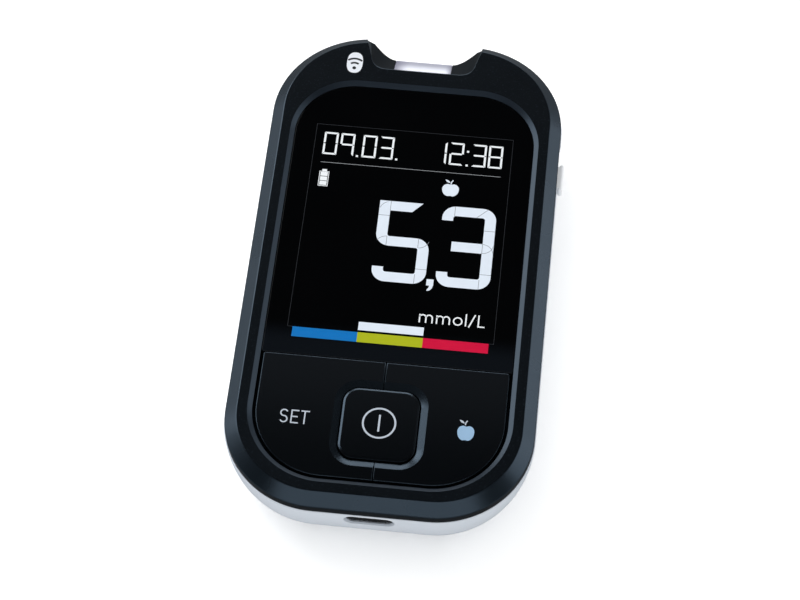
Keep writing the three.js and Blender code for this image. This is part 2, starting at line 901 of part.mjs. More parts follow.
function powerKey() {
  const cap = loft([
    { plan: points(powerPlan), z: keyLow },
    { plan: points(powerPlan), z: lensTop - powerEdgeDrop },
    { plan: points(shrink(powerPlan, powerEdge / 3)), z: lensTop - powerEdgeDrop / 3 },
    { plan: points(shrink(powerPlan, powerEdge)), z: lensTop },
  ]);
  return join([cap, ...keyParts("power")]);
}

// Display
function displayLens() {
  const farSide = block([-far, far], [keyLine, far], [0, rimTop]);
  return slab(shrink(pocketOutline, lensEdgeGap), lensLow, lensTop).intersect(farSide);
}

function rectangle(halfWidth, low, high, z0, z1) {
  return block([-halfWidth, halfWidth], [low, high], [z0, z1]);
}
const zebraLow = lcdNear + snugGap;
const zebraHigh = zebraLow + zebraWidth;
const guideNear = zebraHigh + snugGap + frameBar + snugGap;
const guideFar = lcdFar - snugGap;
const guideHalfWidth = lcdHalfWidth - snugGap;
const ledNear = guideFar + snugGap;

function lcdFrame() {
  const outer = rectangle(
    lcdHalfWidth + frameWidth,
    lcdNear - frameWidth,
    ledNear + ledDepth + snugGap + frameWidth,
    guideLow,
    guideTop,
  );
  const low = guideLow - overrun;
  const high = guideTop + overrun;
  const zebraHalf = lcdHalfWidth - zebraShort + snugGap;
  const zebraCell = rectangle(zebraHalf, zebraLow - snugGap, zebraHigh + snugGap, low, high);
  const guideCell = rectangle(guideHalfWidth + snugGap, guideNear - snugGap, guideFar + snugGap, low, high);
  const ledHalf = ledLength / 2 + snugGap;
  const ledCells = ledPlaces().map((x) =>
    block([x - ledHalf, x + ledHalf], [guideFar, ledNear + ledDepth + snugGap], [low, high]),
  );
  return cut(outer, [zebraCell, guideCell, ...ledCells]);
}

function ledPlaces() {
  return Array.from({ length: displayLedCount }, (_, i) => (i - (displayLedCount - 1) / 2) * ledSpacing);
}

// Snap domes
function snapDome() {
  const outer = [];
  const inner = [];
  for (let i = 0; i <= bendSteps; i++) {
    const share = i / bendSteps;
    const bow = 1 - share * share;
    outer.push([domeRadius * share, domeHeight * bow + domeSkin * share * share]);
    inner.push([domeRadius * share, (domeHeight - domeSkin) * bow]);
  }
  return lathe([...inner, ...outer.reverse()]);
}

// Main board
function mainBoard() {
  const low = boardLow - overrun;
  const high = boardTop + overrun;
  const holes = caseScrews.map(([x, y]) => post(x, y, upperBossRadius + fit, low, high));
  const screwHoles = boardScrews.map(([x, y]) =>
    post(x, y, boardScrewShankRadius + fit / 2, low, high, smallRoundSteps),
  );
  const socketHalf = socketHalfWidth + fit;
  const socketNotch = block([-socketHalf, socketHalf], [-far, socketFar + fit], [low, high]);
  return cut(slab(boardOutline, boardLow, boardTop), [socketNotch, ...holes, ...screwHoles]);
}

// A part that is soldered under the board, by its middle and its half sizes.
function underBoard(halfX, halfY, height) {
  return block([-halfX, halfX], [-halfY, halfY], [-height, 0]);
}

function radioModule() {
  const can = underBoard(radioHalfWidth, radioLength / 2, radioHeight);
  const carrier = underBoard(radioHalfWidth + radioFlange, radioLength / 2 + radioFlange, radioHeight / 2);
  return can.add(carrier);
}

function buzzer() {
  const body = post(0, 0, buzzerRadius, -buzzerHeight, 0);
  return cut(body, [post(0, 0, buzzerHoleRadius, -buzzerHeight - overrun, buzzerHoleDepth - buzzerHeight)]);
}

// Batteries
function cell() {
  const shoulder = cellLength - nubLength;
  const profile = [
    [0, 0],
    [cellRadius - cellEdge, 0],
    [cellRadius, cellEdge],
    [cellRadius, shoulder - cellEdge],
    [cellRadius - cellEdge, shoulder],
    [nubRadius, shoulder],
    [nubRadius, cellLength],
    [0, cellLength],
  ];
  return lathe(profile, roundSteps);
}

// Contacts of the bay: a plate in X and Z whose face is at Y = 0, with its material behind that face.
function contactPlate(halfWidth, x, top) {
  return block([x - halfWidth, x + halfWidth], [-contactThickness, 0], [cellLow + contactFoot, top]);
}

function contactCoil(x) {
  const length = contactCoilLength - 2 * contactWire;
  const wire = coil(contactCoilRadius, contactCoilTip, length, contactTurns, contactWire);
  return wire.translate(x, 0, cellAxis);
}

function contactTab(x) {
  return block([x - tabHalfWidth, x + tabHalfWidth], [-contactThickness, 0], [cellAxis, boardLow - stackGap]);
}

// Screws, head down, with the shank's root at the origin.
function screw(headRadius, headHeight, shankRadius, shankLength) {
  const body = lathe([
    [0, -headHeight],
    [headRadius * headFaceShare, -headHeight],
    [headRadius, -headHeight * headFaceShare],
    [headRadius, 0],
    [shankRadius, 0],
    [shankRadius, shankLength - shankRadius],
    [0, shankLength],
  ]);
  const arm = Math.min(crossLength / 2, headRadius * headFaceShare);
  const depth = Math.min(crossDepth, headHeight * headFaceShare);
  const long = [-arm, arm];
  const narrow = [-crossWidth / 2, crossWidth / 2];
  const deep = [-headHeight - overrun, depth - headHeight];
  return cut(body, [block(long, narrow, deep), block(narrow, long, deep)]);
}
const headFaceShare = 0.78;

// Strip port and connector
function stripPort() {
  const profile = [
    new THREE.Vector2(portBack, portLow),
    new THREE.Vector2(footY, portLow),
    new THREE.Vector2(footY, parting),
    new THREE.Vector2(portBack, rampHeight(portBack)),
  ];
  const through = [portBack - overrun, footY + overrun];
  const slot = block([-slotHalfWidth, slotHalfWidth], through, [channelLow, channelTop]);
  return cut(barX(profile, -portHalfWidth, portHalfWidth), [slot]);
}

function stripContactPlaces() {
  return Array.from({ length: contactCount }, (_, i) => (i - (contactCount - 1) / 2) * stripContactPitch);
}

function stripConnector() {
  const body = block(
    [-connectorHalfWidth, connectorHalfWidth],
    [connectorNear, connectorFar],
    [channelLow - connectorFloor, boardLow - stackGap],
  );
  const channel = block(
    [-slotHalfWidth, slotHalfWidth],
    [connectorNear - overrun, connectorFar + overrun],
    [channelLow, channelTop],
  );
  const slots = stripContactPlaces().map((x) =>
    block(
      [x - stripContactSlot / 2, x + stripContactSlot / 2],
      [connectorNear + stripContactEndGap - snugGap, connectorFar - stripContactEndGap + snugGap],
      [channelLow + channelHeight / 2, boardLow + overrun],
    ),
  );
  return cut(body, [channel, ...slots]);
}

function stripContact() {
  const near = connectorNear + stripContactEndGap;
  const end = connectorFar - stripContactEndGap;
  const top = boardLow - looseGap;
  const under = top - stripContactThickness;
  const bend = (end - near) * stripContactBendShare;
  const profile = [
    new THREE.Vector2(near, under),
    new THREE.Vector2(end - 3 * bend, under),
    new THREE.Vector2(end - 2 * bend, under - stripContactDip),
    new THREE.Vector2(end - bend, under),
    new THREE.Vector2(end, under),
    new THREE.Vector2(end, top),
    new THREE.Vector2(near, top),
  ];
  return barX(profile, -stripContactWidth / 2, stripContactWidth / 2);
}

// Eject slider: knob outside, neck through the wall, dust cover inside, arm under the board and pusher
const innerWallX = caseHalfWidth + shellProud - wall;
const knobTop = parting - neckBelowParting;
const knobLow = knobTop - knobHeight;
const armTop = boardLow - fit;

function ejectSlider() {
  const outerX = caseHalfWidth + shellProud;
  const knobEnd = knobLength / 2;
  const knobPlan = [
    new THREE.Vector2(outerX + knobGap, knobY - knobEnd),
    new THREE.Vector2(outerX + knobProud, knobY - knobEnd + knobEdge),
    new THREE.Vector2(outerX + knobProud, knobY + knobEnd - knobEdge),
    new THREE.Vector2(outerX + knobGap, knobY + knobEnd),
  ];
  const knob = loft([
    { plan: knobPlan, z: knobLow },
    { plan: knobPlan, z: knobTop },
  ]);
  const coverX = boardOutline.halfWidth + (innerWallX - boardOutline.halfWidth - coverThickness) / 2;
  const neck = block(
    [coverX, outerX + knobProud / 2],
    [knobY - knobLength / 2 + neckShort, knobY + knobLength / 2 - neckShort],
    [knobLow, knobTop],
  );
  const straightEnd = caseHalfLength - farCornerRadius;
  const cover = block(
    [coverX, coverX + coverThickness],
    [knobY - knobLength / 2 - slideTravel, straightEnd - slideTravel],
    [knobLow, knobTop],
  );
  const arm = block(
    [-prongHalfWidth, coverX + coverThickness / 2],
    [armNear, armFar],
    [armTop - armHeight, armTop],
  );
  const prong = block(
    [-prongHalfWidth, prongHalfWidth],
    [armNear, connectorNear - stackGap],
    [channelLow + stackGap, channelLow + stackGap + pusherHeight],
  );
  const pad = block(
    [springX - springPadHalf, springX + springPadHalf],
    [armNear, armFar],
    [armTop - armHeight - springPadDrop, armTop],
  );
  return join([knob, neck, cover, arm, prong, pad]);
}

// Receptacle
function socketShell() {
  const outer = barY(stadium(socketHalfWidth, socketHalfHeight, socketZ), socketNear, socketFar);
  const inner = stadium(socketHalfWidth - socketSkin, socketHalfHeight - socketSkin, socketZ);
  return cut(outer, [barY(inner, socketNear - overrun, socketFar - socketBackWall)]);
}

function socketTongue() {
  const back = socketFar - socketBackWall - tongueBaseGap;
  const gap = socketSkin + tongueBaseGap;
  const baseOutline = stadium(socketHalfWidth - gap, socketHalfHeight - gap, socketZ);
  const base = barY(baseOutline, back - tongueBaseLength, back);
  const tongue = block(
    [-tongueHalfWidth, tongueHalfWidth],
    [socketNear + tongueSetback, back],
    [socketZ - tongueHalfHeight, socketZ + tongueHalfHeight],
  );
  return base.add(tongue);
}

const at = (x, y, z) => new THREE.Vector3(x, y, z);

// Casing
add("upper_shell", upperShell(), blackShell);
add("lower_shell", lowerShell(), whiteShell);
add("battery_door", batteryDoor(), doorWhite);
add("rating_plate", slab(plate(0), plateRecess - plateThickness, plateRecess, bendSteps), plateGrey);
add("display_lens", displayLens(), blackLens);
add("power_key", powerKey(), keyBlack);
add("set_key", wingKey("set", -1), keyBlack);
add("meal_key", wingKey("meal", 1), keyBlack);

// Display stack
add("lcd_cell", rectangle(lcdHalfWidth, lcdNear, lcdFar, lcdLow, lcdTop), glassGrey);
add("lcd_frame", lcdFrame(), framePlastic);
add("backlight_guide", rectangle(guideHalfWidth, guideNear, guideFar, guideLow, guideTop), guideClear);
add("zebra_strip", rectangle(lcdHalfWidth - zebraShort, zebraLow, zebraHigh, guideLow, guideTop), zebraRubber);
ledPlaces().forEach((x, i) => {
  const led = block([-ledLength / 2, ledLength / 2], [0, ledDepth], [0, guideThickness]);
  add(`backlight_led_${i + 1}`, led, ledBody, at(x, ledNear, guideLow));
});

// Board and what is soldered to it
add("main_board", mainBoard(), boardGreen);
for (const [key, [x, y]] of Object.entries(stems)) {
  add(`${key}_dome`, snapDome(), steel, at(x, y, boardTop + stackGap));
}
const underside = boardLow - stackGap;
const chipY = armNear - chipBeforeArm - chipSide / 2;
const analogY = radioY + radioLength / 2 + analogGap + analogSide / 2;
const processor = underBoard(chipSide / 2, chipSide / 2, chipHeight);
const analog = underBoard(analogSide / 2, analogSide / 2, chipHeight);
add("processor_chip", processor, chipBlack, at(sideX, chipY, underside));
add("analog_chip", analog, chipBlack, at(-sideX, analogY, underside));
add("radio_module", radioModule(), shieldTin, at(-sideX, radioY, underside));
const crystalY = radioY - radioLength / 2 - crystalGap - crystalLength / 2;
const crystal = underBoard(crystalWidth / 2, crystalLength / 2, crystalHeight);
add("clock_crystal", crystal, shieldTin, at(-sideX, crystalY, underside));
add("buzzer", buzzer(), darkPlastic, at(sideX, buzzerY, underside));
[-portLedX, portLedX].forEach((x, i) => {
  const half = portLedSide / 2;
  const y = boardOutline.high - portLedEdgeGap - half;
  const led = block([-half, half], [-half, half], [0, portLedHeight]);
  add(`port_led_${i + 1}`, led, ledBody, at(x, y, boardTop + stackGap));
});
add("usb_shell", socketShell(), steel);
add("usb_tongue", socketTongue(), darkPlastic);

// Batteries and contacts
const nearFace = bayNear + contactSeat + contactThickness;
const farFace = bayFar - contactSeat - contactThickness;
const first = add("battery_1", cell(), cellSleeve, at(cellX, farFace - stackGap - cellLength, cellAxis));
first.rotation.x = -Math.PI / 2;
const second = add("battery_2", cell(), cellSleeve, at(-cellX, nearFace + stackGap + cellLength, cellAxis));
second.rotation.x = Math.PI / 2;
const bridge = join([
  contactPlate(cellX + contactHalfWidth, 0, roofLow - contactSeat),
  contactCoil(cellX),
]);
add("bridge_contact", bridge, steel, at(0, nearFace, 0));
const positive = join([contactPlate(contactHalfWidth, cellX, roofLow - contactSeat), contactTab(cellX)]);
add("positive_contact", positive, steel, at(0, farFace + contactThickness, 0));
const negative = join([
  contactPlate(contactHalfWidth, cellX, roofLow - contactSeat),
  contactTab(cellX),
  contactCoil(cellX),
]);
const negativeMesh = add("negative_contact", negative, steel, at(0, farFace, 0));
negativeMesh.rotation.z = Math.PI;

// Strip port
add("strip_port", stripPort(), litWhite);
add("strip_connector", stripConnector(), darkPlastic);
stripContactPlaces().forEach((x, i) => add(`strip_contact_${i + 1}`, stripContact(), gold, at(x, 0, 0)));

// Eject slider and spring
add("eject_slider", ejectSlider(), whiteShell);
const springBody = coil(springRadius, springRadius, springLength - 2 * springWire, springTurns, springWire);
const springZ = armTop - (armHeight + springPadDrop) / 2;
add("eject_spring", springBody, steel, at(springX, armFar + stackGap + springWire, springZ));

// Screws
caseScrews.forEach(([x, y], i) => {
  const body = screw(screwHeadRadius, screwHeadHeight, screwShankRadius, screwShankLength);
  add(`case_screw_${i + 1}`, body, steel, at(x, y, headSeatHeight - stackGap));
});
boardScrews.forEach(([x, y], i) => {
  const length = deckTop - boardScrewSkin - underside;
  const body = screw(boardScrewHeadRadius, boardScrewHeadHeight, boardScrewShankRadius, length);
  add(`board_screw_${i + 1}`, body, steel, at(x, y, underside));
});

export default meter;
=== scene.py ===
"""The looks of a hand-held blood glucose meter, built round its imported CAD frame."""

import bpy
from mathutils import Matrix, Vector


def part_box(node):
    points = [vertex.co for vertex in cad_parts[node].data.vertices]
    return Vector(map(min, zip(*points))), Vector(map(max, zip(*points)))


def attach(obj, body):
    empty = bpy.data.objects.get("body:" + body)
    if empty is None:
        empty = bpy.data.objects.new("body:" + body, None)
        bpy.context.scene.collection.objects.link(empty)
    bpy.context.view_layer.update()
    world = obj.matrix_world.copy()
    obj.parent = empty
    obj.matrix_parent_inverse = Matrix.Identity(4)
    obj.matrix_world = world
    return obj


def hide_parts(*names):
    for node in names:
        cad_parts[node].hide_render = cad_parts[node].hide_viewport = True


bl_info = {
    "name": "Blood glucose meter",
    "version": (1, 0, 0),
    "blender": (4, 5, 0),
    "location": "View3D > Sidebar > Meter",
    "description": "Builds the shown pieces, finishes and studio of a hand-held blood glucose meter",
    "category": "Add Mesh",
}

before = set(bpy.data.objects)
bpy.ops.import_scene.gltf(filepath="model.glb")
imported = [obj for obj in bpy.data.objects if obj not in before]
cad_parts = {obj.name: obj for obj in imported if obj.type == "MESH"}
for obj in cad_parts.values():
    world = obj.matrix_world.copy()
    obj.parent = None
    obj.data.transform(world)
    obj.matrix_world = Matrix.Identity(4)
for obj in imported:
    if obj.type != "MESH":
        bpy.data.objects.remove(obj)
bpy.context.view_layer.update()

import math

import bmesh
import bpy
import numpy as np
from bpy.props import FloatProperty, FloatVectorProperty, IntProperty, PointerProperty
from mathutils import Matrix, Vector

MM = 0.001
CASE_BODY = "case"


def span(node):
    """The lowest and the highest corner of a frame node, in millimetres."""
    return [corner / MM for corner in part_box(node)]


def four(name):
    """The names of four like nodes."""
    return [f"{name}_{i}" for i in range(1, 5)]


def about(middle, half):
    """The two ends of a stretch about its middle."""
    return (middle - half, middle + half)


def top(node):
    """The highest point of a frame node, in millimetres."""
    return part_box(node)[1].z / MM


def foot(node):
    """The lowest point of a frame node, in millimetres."""
    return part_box(node)[0].z / MM


# Walls of the casing, and how far the back stands out past the outline of the upper shell
WALL = 1.6
CORE_WALL = 1.4
PROUD = 0.2

# Heights in millimetres, from the frame
RIM_TOP = top("upper_shell")
LENS_TOP = top("display_lens")
LENS_LOW = foot("display_lens")
PARTING = top("lower_shell")
DECK_TOP = top("lcd_cell") - 0.8
DECK_LOW = foot("lcd_cell")
ROOF_UNDER = RIM_TOP - WALL

# Outlines in plan: half width, near edge, far edge, near corner radius and far corner radius
CASE = (29.5, -53.6, 53.6, 18.6, 19.6)
OPENING = (25.2, -49.2, 41.4, 15.2, 13.0)
POWER_LOW, POWER_HIGH = span("power_key")
POWER = (POWER_HIGH.x, POWER_LOW.y, POWER_HIGH.y, 3.1, 3.1)
POWER_Y = (POWER_LOW.y + POWER_HIGH.y) / 2
BELLY_INSET = 9.5

# Play between parts, how far a cutting tool overruns, and a distance past everything
GAP = 0.3
OVER = 1.0
FAR = 70.0

# An upward normal's Z from which a face counts as flat
FLAT = 0.985

# Finger notch
LIP_Y = 44.8
FOOT_Y = 49.9
LIP_SHAPE = ((7.3, LIP_Y), (10.4, LIP_Y), (10.8, 47.8), (11.9, 51.5))
FOOT_SHAPE = ((6.0, FOOT_Y), (8.1, FOOT_Y + 0.15), (11.75, 54.9), (12.8, 56.0))

# Half the width of the cuts for the strip port, and where the slider's spring stands
PORT_HALF = 5.93
SPRING_X = (20.7, 23.5)

# Right wing key in plan: left, right, near and far edge, near corner radius and far corner radius
WING = (0.08, 23.68, -47.68, -22.75, 13.68, 0.45)

# Keys: lower face, stems and retaining legs
KEY_LOW = DECK_TOP + 1.0
WING_STEM_X = 16.0
WING_STEM_Y = -33.5
STEM_RADIUS = 1.7
STEM_LOW = 15.95
LEG_HALF_X = 0.8
LEG_HALF_Y = 0.5
LEG_LOW = 15.85

# Battery bay and door; a half is half a width, and a low, a top or a lip is a height
BAY_HALF = 11.2
BAY_WALL = 1.2
BAY_NEAR = -38.0
BAY_FAR = 12.1
DOOR_HALF = 12.4
DOOR_FAR = 13.9
DOOR_SINK = 0.2
DOOR_TOP = 1.6
DOOR_LIP = 4.6
SEAT_LOW = 1.8
ROOF_LOW = 12.9
ROOF_TOP = 13.9
CONTACT_X = 9.95
CELL_X = 5.55
CELL_AXIS = 7.35
CELL_MIDDLE = -12.5
CONTACT_THICKNESS = 0.4

# Receptacle and its mouth in the near end: half width and half height
SOCKET_Z = 14.2
SOCKET_HALF = (4.47, 1.58)
CORE_HALF = (4.02, 1.13)
MOUTH_HALF = (4.75, 1.78)

# Places of the case screws, and the height of their heads' undersides
SCREWS = ((17.5, 38.0), (-17.5, 38.0), (16.5, -41.0), (-16.5, -41.0))
SCREW_Z = 4.4

# Width of the finest lines in the display
FINE_LINE = 0.09

# Coloured scale under the display
SCALE_TOP = -16.74
SCALE_HEIGHT = 2.14
SCALE_ENDS = (-18.9, -6.28, 6.38, 19.08)

# Segments that each small figure lights
SEGMENTS = {"0": "abcdef", "1": "bc", "2": "abged", "3": "abgcd", "8": "abcdefg", "9": "abcfg"}

# Stage: half the floor, its depth under the meter, and the camera's place, direction and upward side
FLOOR_HALF = 6.0
FLOOR_DEPTH = 2e-5
CAMERA_PLACE = (0.02589, -0.22412, 0.40275)
CAMERA_AHEAD = (-0.0563, 0.4892, -0.8704)
CAMERA_UP = (-0.0891, 0.8658, 0.4924)

# Lamps: place in metres, width, height, and whether a lamp is only mirrored or only lights dull surfaces
LAMPS = {
    "left_softbox": ((-0.68, 0.4, 0.38), 0.75, 0.6, True),
    "right_softbox": ((0.86, 0.2, 0.32), 0.78, 0.52, True),
    "front_softbox": ((0.03, -0.72, 0.5), 1.3, 0.3, True),
    "far_softbox": ((-0.06, 0.8, 0.34), 0.5, 0.3, True),
    "high_lamp": ((-0.35, 0.35, 0.75), 0.6, 0.6, False),
}

# Colours of light and of what is mirrored, and the tint of satin plastic's sheen
LAMP_COLOR = (0.93, 0.97, 1.0)
EVEN_COLOR = (0.97, 0.985, 1.0, 1.0)
HORIZON_COLOR = (0.86, 0.93, 1.0, 1.0)
CEILING_COLOR = (0.007, 0.008, 0.01, 1.0)
WHITE = (1.0, 1.0, 1.0, 1.0)
SHEEN = (0.58, 0.78, 1.0, 1.0)
GOLD = (0.8, 0.58, 0.22)


class MeterCasing(bpy.types.PropertyGroup):
    edge_round: FloatProperty(
        name="Edge rounding", description="Radius of the chamfer's two edges",
        default=0.35 * MM, unit="LENGTH",
    )
    chamfer_width: FloatProperty(
        name="Chamfer width", description="Width of the outer chamfer in plan",
        default=2.4 * MM, unit="LENGTH",
    )
    chamfer_drop: FloatProperty(
        name="Chamfer drop", description="Height of the outer chamfer", default=2.2 * MM, unit="LENGTH"
    )
    bevel_width: FloatProperty(
        name="Bevel width", description="Width of the bevel round the window",
        default=0.92 * MM, unit="LENGTH",
    )
    rim_color: FloatVectorProperty(
        name="Rim", description="Matt grained rim", subtype="COLOR", default=(0.0022, 0.003, 0.004)
    )
    chamfer_color: FloatVectorProperty(
        name="Chamfer", description="Satin outer chamfer",
        subtype="COLOR", default=(0.0015, 0.0028, 0.004),
    )
    # The bevel's colour is several times lighter than the black of the rest of the shell: its own dark satin
    # with a painted reflection laid on it.
    bevel_color_painted_reflection: FloatVectorProperty(
        name="Bevel", description="Satin bevel round the window",
        subtype="COLOR", default=(0.01, 0.013, 0.018),
    )
    back_color: FloatVectorProperty(
        name="Back", description="White plastic of the back",
        subtype="COLOR", default=(0.73, 0.78, 0.85),
    )


class MeterDisplay(bpy.types.PropertyGroup):
    digit_stroke: FloatProperty(
        name="Large stroke", description="Width of the large figures' strokes",
        default=2.2 * MM, unit="LENGTH",
    )
    small_stroke: FloatProperty(
        name="Small stroke", description="Width of the small figures' strokes",
        default=0.4 * MM, unit="LENGTH",
    )
    sign_color: FloatVectorProperty(
        name="Signs", description="Pale lit segments", subtype="COLOR", default=(0.77, 0.83, 0.91)
    )
    low_color: FloatVectorProperty(
        name="Low", description="Low part of the scale", subtype="COLOR", default=(0.004, 0.165, 0.49)
    )
    normal_color: FloatVectorProperty(
        name="Normal", description="Middle part of the scale",
        subtype="COLOR", default=(0.42, 0.46, 0.01),
    )
    high_color: FloatVectorProperty(
        name="High", description="High part of the scale", subtype="COLOR", default=(0.63, 0.005, 0.045)
    )


class MeterKeys(bpy.types.PropertyGroup):
    edge_round: FloatProperty(
        name="Wing edge", description="Radius of the wing keys' edges", default=0.2 * MM, unit="LENGTH"
    )
    power_round: FloatProperty(
        name="Power edge", description="Radius of the power key's edge",
        default=0.25 * MM, unit="LENGTH",
    )
    recess_drop: FloatProperty(
        name="Recess depth", description="Depth of the slope round the power key",
        default=0.5 * MM, unit="LENGTH",
    )
    key_color: FloatVectorProperty(
        name="Keys", description="Charcoal plastic of the keys",
        subtype="COLOR", default=(0.0034, 0.0037, 0.0043),
    )
    edge_color: FloatVectorProperty(
        name="Key edges", description="Satin edges and recess slope",
        subtype="COLOR", default=(0.002, 0.003, 0.004),
    )
    sign_color: FloatVectorProperty(
        name="Signs", description="Pale print on the keys", subtype="COLOR", default=(0.5, 0.55, 0.62)
    )


class MeterStudio(bpy.types.PropertyGroup):
    lens: FloatProperty(
        name="Lens", description="Focal length on a 36 mm sensor", default=101.95, unit="CAMERA"
    )
    left_light: FloatProperty(
        name="Left softbox", description="Brightness, where white paper is 1", default=2.6
    )
    right_light: FloatProperty(
        name="Right softbox", description="Brightness, where white paper is 1", default=1.25
    )
    front_light: FloatProperty(
        name="Front softbox", description="Brightness, where white paper is 1", default=1.4
    )
    far_light: FloatProperty(
        name="Far softbox", description="Brightness, where white paper is 1", default=2.4
    )
    high_light: FloatProperty(
        name="High lamp", description="Brightness, where white paper is 1", default=1.8
    )
    horizon: FloatProperty(
        name="Horizon", description="Brightness of the horizon in reflections", default=1.15
    )
    floor_mirror: FloatProperty(
        name="Floor mirrored", description="Brightness of the floor in reflections", default=0.25
    )
    floor_lift: FloatProperty(
        name="Floor lift", description="How much paler the camera sees the floor", default=0.38
    )
    sky_light: FloatProperty(
        name="Even light", description="Light from all round on dull surfaces", default=0.87
    )
    floor_color: FloatVectorProperty(
        name="Floor", description="Pale studio floor", subtype="COLOR", default=(0.95, 0.935, 0.915)
    )
    corner_steps: IntProperty(
        name="Corner steps", description="Divisions of each rounded corner", default=28, min=8, max=64
    )


# Outlines and surfaces, all in millimetres until a piece is settled
def inset(plan, amount):
    """An outline in plan, taken in on every side."""
    half, low, high, low_radius, high_radius = plan
    radii = (max(low_radius - amount, 0.05), max(high_radius - amount, 0.05))
    return (half - amount, low + amount, high - amount, *radii)


def outline(plan, steps=28):
    """The points of a rounded rectangle that is even about X = 0, counter-clockwise."""
    half, low, high, low_radius, high_radius = plan
    near, far = (low, 1, low_radius), (high, -1, high_radius)
    corners = ((1, *near), (1, *far), (-1, *far), (-1, *near))
    turns = np.linspace(0, math.pi / 2, steps + 1)
    points = []
    for quarter, (side, edge, inward, radius) in enumerate(corners, -1):
        angle = turns + quarter * math.pi / 2
        x = side * (half - radius) + radius * np.cos(angle)
        y = edge + inward * radius + radius * np.sin(angle)
        points.append(np.column_stack((x, y)))
    return np.vstack(points)


def inside(plan, x, y):
    """True where a point lies in a rounded rectangle."""
    half, low, high, low_radius, high_radius = plan
    if abs(x) > half or not low < y < high:
        return False
    for edge, inward, radius in ((low, 1, low_radius), (high, -1, high_radius)):
        across = abs(x) - (half - radius)
        along = (edge + inward * radius - y) * inward
        if across > 0 and along > 0 and math.hypot(across, along) > radius:
            return False
    return True


def eased(path, radii, steps=4, support=0.05):
    """A path whose inner corners are rounded, with a point either side that keeps the flats flat."""
    points = [np.array(path[0], float)]
    for before, corner, after, radius in zip(path, path[1:], path[2:], radii):
        corner = np.array(corner, float)
        back = np.array(before, float) - corner
        ahead = np.array(after, float) - corner
        back /= np.linalg.norm(back)
        ahead /= np.linalg.norm(ahead)
        angle = math.acos(max(-1.0, min(1.0, float(back @ ahead))))
        if radius <= 0 or angle > 3.1:
            points.append(corner)
            continue
        reach = radius / math.tan(angle / 2)
        middle = (back + ahead) / np.linalg.norm(back + ahead)
        centre = corner + middle * radius / math.sin(angle / 2)
        start = corner + back * reach - centre
        end = corner + ahead * reach - centre
        total = math.pi - angle
        if support:
            points.append(centre + start + back * support)
        for step in range(steps + 1):
            share = step / steps
            mixed = start * math.sin((1 - share) * total) + end * math.sin(share * total)
            points.append(centre + mixed / math.sin(total))
        if support:
            points.append(centre + end + ahead * support)
    points.append(np.array(path[-1], float))
    return points


def mesh_object(name, points, faces):
    """An object of merged points and faces that face outwards."""
    mesh = bpy.data.meshes.new(name)
    mesh.from_pydata([tuple(map(float, p)) for p in points], [], faces)
    shape = bmesh.new()
    shape.from_mesh(mesh)
    bmesh.ops.remove_doubles(shape, verts=shape.verts, dist=1e-5)
    bmesh.ops.recalc_face_normals(shape, faces=shape.faces)
    shape.to_mesh(mesh)
    shape.free()
    obj = bpy.data.objects.new(name, mesh)
    bpy.context.scene.collection.objects.link(obj)
    return obj


def loft(name, rings):
    """A closed solid through rings of three-dimensional points, capped at both ends."""
    count = len(rings[0])
    faces = []
    for ring in range(len(rings) - 1):
        for i in range(count):
            a = ring * count + i
            b = ring * count + (i + 1) % count
            faces.append((a, b, b + count, a + count))
    last = (len(rings) - 1) * count
    faces.append(tuple(reversed(range(count))))
    faces.append(tuple(range(last, last + count)))
    return mesh_object(name, np.vstack(rings), faces)


def level(plan, height):
    """A plan outline's points at a height."""
    return np.column_stack((plan, np.full(len(plan), float(height))))


def slab(name, plan, low, high, rounding=0.0, steps=28):
    """A plate of a plan outline, whose upper edge may be rounded."""
    if not rounding:
        return loft(name, [level(outline(plan, steps), low), level(outline(plan, steps), high)])
    path = eased([(0, low), (0, high), (3 * rounding, high)], [rounding])
    return loft(name, [level(outline(inset(plan, i), steps), z) for i, z in path])


def block(name, x, y, z):
    corners = [(i, j, k) for k in z for j in y for i in x]
    faces = [(0, 2, 3, 1), (4, 5, 7, 6), (0, 1, 5, 4), (2, 6, 7, 3), (0, 4, 6, 2), (1, 3, 7, 5)]
    return mesh_object(name, corners, faces)


def turned(name, profile, sides=64):
    """A solid of revolution about Z from points of radius and height that start and end on the axis."""
    turns = np.linspace(0, 2 * math.pi, sides, endpoint=False)
    points, faces, rings = [], [], []
    for radius, height in profile:
        base = len(points)
        if radius < 1e-6:
            points.append((0, 0, height))
            rings.append([base] * sides)
        else:
            points += [(radius * math.cos(t), radius * math.sin(t), height) for t in turns]
            rings.append(list(range(base, base + sides)))
    for lower, upper in zip(rings, rings[1:]):
        for i in range(sides):
            j = (i + 1) % sides
            face = list(dict.fromkeys((lower[i], lower[j], upper[j], upper[i])))
            if len(face) > 2:
                faces.append(tuple(face))
    return mesh_object(name, points, faces)


def post(name, x, y, radius, low, high, sides=48):
    """An upright round post."""
    obj = turned(name, [(0, low), (radius, low), (radius, high), (0, high)], sides)
    obj.data.transform(Matrix.Translation((x, y, 0)))
    return obj


def stadium(halves, grow, height):
    """A stadium from its half width and half height, grown all round."""
    half_width, half_height = (half + grow for half in halves)
    radius = half_height * 0.98
    return outline((half_width, *about(height, half_height), radius, radius), 16)


def along_y(name, sections):
    """A solid through outlines in X and Z, each at its own Y."""
    return loft(name, [np.column_stack((p[:, 0], np.full(len(p), float(y)), p[:, 1])) for p, y in sections])


def plain(obj):
    """Turns an object with its modifiers into a plain mesh."""
    bpy.context.view_layer.update()
    depsgraph = bpy.context.evaluated_depsgraph_get()
    mesh = bpy.data.meshes.new_from_object(obj.evaluated_get(depsgraph))
    obj.modifiers.clear()
    obj.data = mesh
    return obj


